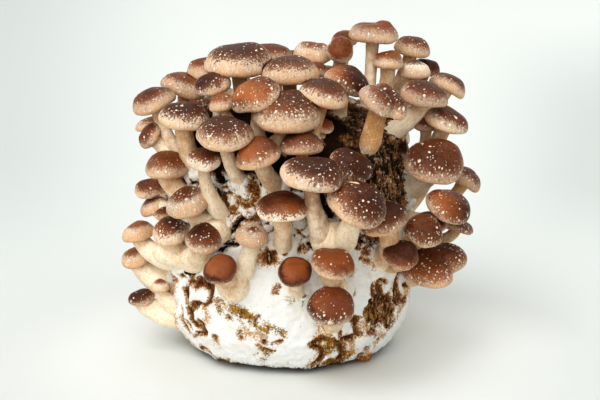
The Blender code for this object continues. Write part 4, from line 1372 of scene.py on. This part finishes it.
def block_material(tree):
    """White mycelium skin, tan along its edges, over rust-brown sawdust, dark holes and golden crust, with
    the crown under the caps painted nearly black as painted shade.
    """
    place, crown, brown = tree.attributes("place", "share", "pale")
    bare, crust, hole = tree.parts(tree.attribute("look"))
    flake, collar, popcorn = tree.parts(tree.attribute("tone"))
    tan, unseen, column = tree.parts(tree.attribute("comb"))
    upright = tree.vector("MULTIPLY", place, (1.0, 1.0, 0.42))
    grain = tree.use("cloud_and_fibre", Place=place, Comb=upright, Cloud_Scale=0.07, Fibre_Scale=0.62)
    fibre = grain["Fibre"]
    ragged = tree.noise(place, 0.45, 6.0, 0.78) - 0.5
    wide_ragged = tree.noise(place, 0.30, 6.0, 0.75) - 0.5
    broken = (tree.noise(place, 0.95, 4.0, 0.7) - 0.5) * 16.0

    def within(field, sway, low, high):
        """A mark's mask, its edge moved by that many millimetres of raggedness."""
        return (field + ragged * sway).step(low, high)

    near = bare + wide_ragged * 10.0 + broken * 0.35
    tanned = within(tan + broken * 1.3, 14.0, 0.3, 1.5) * fibre.step(0.32, 0.48)
    white = tree.coats(
        tree.mix(grain["Cloud"].step(0.50, 0.80), "skin", "skin_cream"),
        (tree.noise(place, 0.40, 6.0, 0.75).step(0.50, 0.62) * 0.50, "skin_cream"),
        ((collar * 0.45).most(popcorn * 0.25), "skin_cream"),
        (near.step(-1.8, 0.6) * (popcorn * 0.1 + 0.80), "stain"),
        (tanned * 0.85, "stain"),
        (tree.flecks(place, 0.26, 0.20, 0.20) * 0.7, "stain"),
        (tree.flecks(place, 0.13, 0.25, 0.40) * popcorn, "stain"),
        (tree.flecks(place, 0.13, 0.14, 0.40) * popcorn, "bare_brown"))
    rust = tree.coats(
        tree.mix((bare * 0.25 + (fibre - 0.5) * 3.2).step(-0.3, 1.0), "bare_brown", "bare_dark"),
        (ragged.step(0.10, 0.20) * 0.6, "stain"),
        (tree.flecks(upright, 0.45, 0.42, 0.30) * 0.85, "chip"))

    # Flaked sawdust: upright pale flakes over dark, with black gaps between them.
    gaps = tree.noise(tree.vector("MULTIPLY", place, (1.0, 1.0, 0.6)), 0.22, 3.0, 0.65)
    flaked = tree.coats(
        tree.mix(fibre.step(0.44, 0.58), "bare_dark", "bare_brown"),
        (gaps.step(0.50, 0.40) * 0.45, "stain"),
        (fibre.step(0.55, 0.64) * 0.8, "chip"),
        (tree.flecks(upright, 0.34, 0.46, 0.42) * 0.8, "chip"),
        (ragged.step(0.03, 0.09) * (column * 0.55 + 0.1), "skin_cream"),
        (gaps.step(0.50, 0.58) * (column * 0.5 + 0.4), "hole"))

    gold = within(crust + broken * 1.2, 12.0, 0.5, 1.4)
    speckled = fibre.step(0.40, 0.62)
    # Dark sawdust along the bottom edge: partly the block's own dark crust, partly painted contact shade
    # where the block meets the floor.
    soil_and_contact_shade = within(4.4 - tree.parts(place)[2], 20.0, -0.2, 1.0)
    # Painted shade: the crown under the caps is painted nearly black in the holes' colour, less so on the
    # flaked column and towards the far side, and not in the collars round the stems' feet.
    painted_crown_shade = (0.85 - flake.step(0.0, 2.0) * 0.55 - unseen * 0.7).most(0.0)
    base = tree.coats(
        white,
        (within(bare + broken * 0.35, 10.0, -0.50, 0.50), rust),
        (within(flake, 12.0, -0.6, 0.6), flaked),
        (gold, tree.mix(fibre.step(0.36, 0.54), "crust_dark", "crust")),
        (within(hole, 7.0, -0.7, 0.8), tree.mix(fibre.step(0.44, 0.60) * 0.6, "hole", "bare_dark")),
        (soil_and_contact_shade, tree.mix(speckled, "bare_dark", "crust_dark")),
        # The crown's painted shade, in the holes' colour.
        (crown * painted_crown_shade * (1.0 - collar.step(0.15, 0.7) * 0.85), "hole"),
        (brown.step(-0.3, 0.5), tree.mix(speckled, "bud", "stain")))
    open_skin = bare.most(flake).step(-0.4, 0.4)
    lift = tree.noise(place, 1.8, 4.0, 0.7) * 0.75 + open_skin * (fibre - 0.8) + gold * 0.5
    matt = tree.blend(gold, 0.88, 0.40)
    tree.surface(Base_Color=base, Roughness=matt, Specular_IOR_Level=0.2, Normal=tree.bump(lift, 0.8, 0.0010))


def paper_material(tree):
    """Seamless paper with painted light and shade: darker at both sides and towards the front, and a little
    paler close to the block and in its lee.
    """
    place = tree.value("ShaderNodeTexCoord", {}, "Object")
    x, y = tree.parts(place)[:2]
    flat = tree.vector("MULTIPLY", place, (1.0, 1.0, 0.0))
    aside = x / (y + 1.0)
    left = aside.step(-0.05, -0.20) * y.step(-0.25, 0.6)
    right = aside.step(0.09, 0.20) * (y.step(1.7, 0.7) * y.step(0.05, 0.5))
    near, lee = (tree.vector("DISTANCE", flat, middle, "Value") for middle in (PAINTED_LIGHT_NEAR_MIDDLE, PAINTED_LIGHT_LEE_MIDDLE))
    # Painted shade at both sides and at the front; painted light close to the block and in its lee, which
    # lifts the block's shadow.
    paper = tree.coats(
        tree.mix(left.most(right) + tree.noise(place, 0.8, 2.0) * 0.06, "floor", "floor_painted_side_shade"),
        (y.step(0.35, -0.10), "floor_painted_front_shade"),
        (near.step(0.20, 0.09), "floor_painted_near_light"),
        (lee.step(0.095, 0.02), "floor_painted_lee_light"))
    tree.surface(Base_Color=paper, Roughness=0.9, Specular_IOR_Level=0.1)


def material(name, recipe, settings):
    """The material of that name, made once from its recipe."""
    for group, maker in GROUPS.items():
        if group not in bpy.data.node_groups:
            maker(group)
    made = bpy.data.materials.get(name)
    if not made:
        made = bpy.data.materials.new(name)
        made.use_nodes = True
        recipe(Tree(made.node_tree, settings))
    return made


# ---- settings, operators and panel
def colour_property(name, description, default):
    return FloatVectorProperty(
        name=name, description=description, default=default, subtype="COLOR", min=0, max=1)


def power_property(name, description, default):
    return FloatProperty(name=name, description=description, default=default, min=0.0)


class GrowBlockMushroomSettings(bpy.types.PropertyGroup):
    """Colours of the mushrooms"""

    cap_dark: colour_property("Dark cap", "The darkest skin, at the crown", (0.058, 0.019, 0.010))
    cap_red_brown: colour_property("Red-brown cap", "The usual brown of the skin", (0.205, 0.066, 0.027))
    cap_orange: colour_property("Orange cap", "The brown of the warmest caps", (0.410, 0.145, 0.046))
    cap_plum: colour_property("Plum cap", "Where the dark skin thins out", (0.300, 0.170, 0.120))
    rim_tan: colour_property("Tan rim", "The rim of a cap, low down", (0.640, 0.385, 0.212))
    rim_cream: colour_property("Cream rim", "The palest skin beyond the dark", (0.830, 0.635, 0.455))
    fleck: colour_property("Flecks", "The pale flecks", (0.880, 0.790, 0.660))
    gill: colour_property("Gills", "The gills under a cap", (0.620, 0.440, 0.260))
    stem: colour_property("Stem", "The pale flesh of a stem", (0.950, 0.830, 0.650))
    stem_tan: colour_property("Tan stem", "Where a stem has darkened", (0.640, 0.350, 0.145))
    stem_scale: colour_property("Stem scales", "The brown scales on a stem", (0.300, 0.130, 0.050))
    stem_foot: colour_property("Foot", "The fuzzy foot of a stem", (0.930, 0.810, 0.640))


class GrowBlockBlockSettings(bpy.types.PropertyGroup):
    """Colours and relief of the block"""

    skin: colour_property("Skin", "The white mycelium skin", (0.885, 0.885, 0.868))
    skin_cream: colour_property("Cream skin", "Older mycelium", (0.865, 0.805, 0.690))
    stain: colour_property("Stain", "The tan edge of the skin", (0.540, 0.262, 0.052))
    bare_dark: colour_property("Dark sawdust", "The deep parts of bare sawdust", (0.060, 0.022, 0.008))
    bare_brown: colour_property("Brown sawdust", "The raised parts of bare sawdust", (0.315, 0.140, 0.045))
    # This colour also paints the shade at the crown under the caps.
    hole: colour_property("Holes", "Holes and gaps in the block", (0.020, 0.010, 0.005))
    chip: colour_property("Chips", "Pale chips in the sawdust", (0.560, 0.420, 0.270))
    crust: colour_property("Crust", "Dried golden drops", (0.560, 0.300, 0.032))
    crust_dark: colour_property("Dark crust", "The oldest drops, nearly black", (0.130, 0.055, 0.008))
    bud: colour_property("Buds", "Mushrooms that have just formed", (0.260, 0.110, 0.045))
    relief: FloatProperty(
        name="Relief", description="How deep the bare places lie", default=0.0015, min=0.0, max=0.004,
        unit="LENGTH")


class GrowBlockStageSettings(bpy.types.PropertyGroup):
    """Floor and light"""

    floor: colour_property("Floor", "The seamless floor", (0.700, 0.710, 0.695))
    # These four colours are painted shade at the sides and the front, and painted light close to the block
    # and in its lee.
    floor_painted_side_shade: colour_property("Floor, aside", "The floor at both sides", (0.563, 0.583, 0.568))
    floor_painted_near_light: colour_property("Floor, near", "The floor close to the block", (0.765, 0.777, 0.757))
    floor_painted_front_shade: colour_property("Floor, fore", "The floor in front of the block", (0.650, 0.660, 0.648))
    floor_painted_lee_light: colour_property("Floor, lee", "The floor away from the light", (0.790, 0.800, 0.780))
    key_power: power_property("Key light", "Strength of the light from the upper left", 0.76)
    top_power: power_property("Top light", "Strength of the light overhead", 0.32)
    front_power: power_property("Front light", "Strength of the low light", 1.02)
    fill: power_property("Fill", "Strength of the light from all round", 0.57)


class GROWBLOCK_OT_block(bpy.types.Operator):
    """Covers the block with white mycelium over bare, crusted sawdust"""

    bl_idname = "object.grow_block_block"
    bl_label = "Block"

    def execute(self, context):
        settings = context.scene.grow_block_block
        build_block(settings, all_mushrooms(), material("mycelium block skin", block_material, settings))
        return {"FINISHED"}


class ZoneOperator:
    """What the operators of the five sides share"""

    zone = ""

    def execute(self, context):
        settings = context.scene.grow_block_mushrooms
        materials = [material(name, recipe, settings) for name, recipe in MUSHROOM_FINISHES]
        rows = all_mushrooms()
        groups = [group for group in groups_of(rows) if zone_of(group[0]) == self.zone]
        if not groups:
            raise RuntimeError(f"no mushrooms stand on the {self.zone} side")
        for group in groups:
            grow_group(group, rows, materials)
        return {"FINISHED"}


class GROWBLOCK_OT_front(ZoneOperator, bpy.types.Operator):
    """Grows the mushrooms of the front"""

    bl_idname = "object.grow_block_front"
    bl_label = "Front Mushrooms"
    zone = "front"


class GROWBLOCK_OT_crown(ZoneOperator, bpy.types.Operator):
    """Grows the mushrooms of the top"""

    bl_idname = "object.grow_block_crown"
    bl_label = "Crown Mushrooms"
    zone = "crown"


class GROWBLOCK_OT_left(ZoneOperator, bpy.types.Operator):
    """Grows the mushrooms of the left side"""

    bl_idname = "object.grow_block_left"
    bl_label = "Left Mushrooms"
    zone = "left"


class GROWBLOCK_OT_right(ZoneOperator, bpy.types.Operator):
    """Grows the mushrooms of the right side"""

    bl_idname = "object.grow_block_right"
    bl_label = "Right Mushrooms"
    zone = "right"


class GROWBLOCK_OT_back(ZoneOperator, bpy.types.Operator):
    """Grows the mushrooms of the far side"""

    bl_idname = "object.grow_block_back"
    bl_label = "Back Mushrooms"
    zone = "back"


def distant_light(name, way, spread, strength):
    """A far, wide light that shines from that way, as a large soft box does."""
    data = bpy.data.lights.new(name, "SUN")
    data.energy = strength
    data.angle = math.radians(spread)
    made = bpy.data.objects.new(name, data)
    made.rotation_euler = Vector(way).to_track_quat("Z", "Y").to_euler()
    bpy.context.scene.collection.objects.link(made)


def seamless_floor(settings):
    """A floor that curves up behind into a backdrop."""
    curve = curve_through(FLOOR_PROFILE, 6)
    points = [(side * FLOOR_HALF_WIDTH, y, max(z, 0.0)) for y, z in curve for side in (-1, 1)]
    faces = [(2 * i, 2 * i + 1, 2 * i + 3, 2 * i + 2) for i in range(len(curve) - 1)]
    mesh = bpy.data.meshes.new("floor")
    mesh.from_pydata(points, [], faces)
    mesh.shade_smooth()
    mesh.materials.append(material("seamless paper", paper_material, settings))
    floor = bpy.data.objects.new("floor", mesh)
    bpy.context.scene.collection.objects.link(floor)


class GROWBLOCK_OT_stage(bpy.types.Operator):
    """Sets up the pale floor, the soft light and the camera"""

    bl_idname = "scene.grow_block_stage"
    bl_label = "Stage"

    def execute(self, context):
        scene = context.scene
        settings = scene.grow_block_stage
        seamless_floor(settings)
        world = bpy.data.worlds.new("studio")
        world.use_nodes = True
        background = world.node_tree.nodes["Background"]
        background.inputs["Color"].default_value = FILL_COLOUR
        background.inputs["Strength"].default_value = settings.fill
        scene.world = world
        for name, way, spread in LIGHTS:
            distant_light(name, way, spread, getattr(settings, f"{name}_power"))

        data = bpy.data.cameras.new("camera")
        data.sensor_width = CAMERA_SENSOR
        data.lens = CAMERA_LENS
        camera = bpy.data.objects.new("camera", data)
        rise = math.radians(CAMERA_RISE)
        back = Vector((0, -math.cos(rise), math.sin(rise)))
        camera.location = Vector(CAMERA_TARGET) + back * CAMERA_DISTANCE
        camera.rotation_euler = (math.pi / 2 - rise, 0, 0)
        scene.collection.objects.link(camera)
        scene.camera = camera
        scene.view_settings.view_transform = "Standard"
        scene.view_settings.look = "High Contrast"
        return {"FINISHED"}


MUSHROOM_FINISHES = (
    ("shiitake cap skin", cap_material), ("shiitake gills", gill_material), ("shiitake stem", stem_material),
)
SETTINGS = {
    "grow_block_mushrooms": GrowBlockMushroomSettings, "grow_block_block": GrowBlockBlockSettings,
    "grow_block_stage": GrowBlockStageSettings,
}
OPERATORS = (
    GROWBLOCK_OT_block, GROWBLOCK_OT_front, GROWBLOCK_OT_crown, GROWBLOCK_OT_left, GROWBLOCK_OT_right,
    GROWBLOCK_OT_back, GROWBLOCK_OT_stage,
)


class GROWBLOCK_PT_panel(bpy.types.Panel):
    """Lists the pieces and their colours"""

    bl_idname = "GROWBLOCK_PT_panel"
    bl_label = "Shiitake Grow Block"
    bl_space_type = "VIEW_3D"
    bl_region_type = "UI"
    bl_category = "Grow Block"

    def draw(self, context):
        layout = self.layout
        for each in OPERATORS:
            layout.operator(each.bl_idname)
        for group in SETTINGS:
            settings = getattr(context.scene, group)
            column = layout.column()
            for name in settings.__annotations__:
                column.prop(settings, name)


CLASSES = (*SETTINGS.values(), *OPERATORS, GROWBLOCK_PT_panel)


def register():
    for each in CLASSES:
        bpy.utils.register_class(each)
    for name, kind in SETTINGS.items():
        setattr(bpy.types.Scene, name, PointerProperty(type=kind))


def unregister():
    for name in SETTINGS:
        delattr(bpy.types.Scene, name)
    for each in reversed(CLASSES):
        bpy.utils.unregister_class(each)


def main():
    register()
    bpy.ops.object.grow_block_block()
    bpy.ops.object.grow_block_front()
    bpy.ops.object.grow_block_crown()
    bpy.ops.object.grow_block_left()
    bpy.ops.object.grow_block_right()
    bpy.ops.object.grow_block_back()
    bpy.ops.scene.grow_block_stage()


if __name__ == "__main__":
    main()
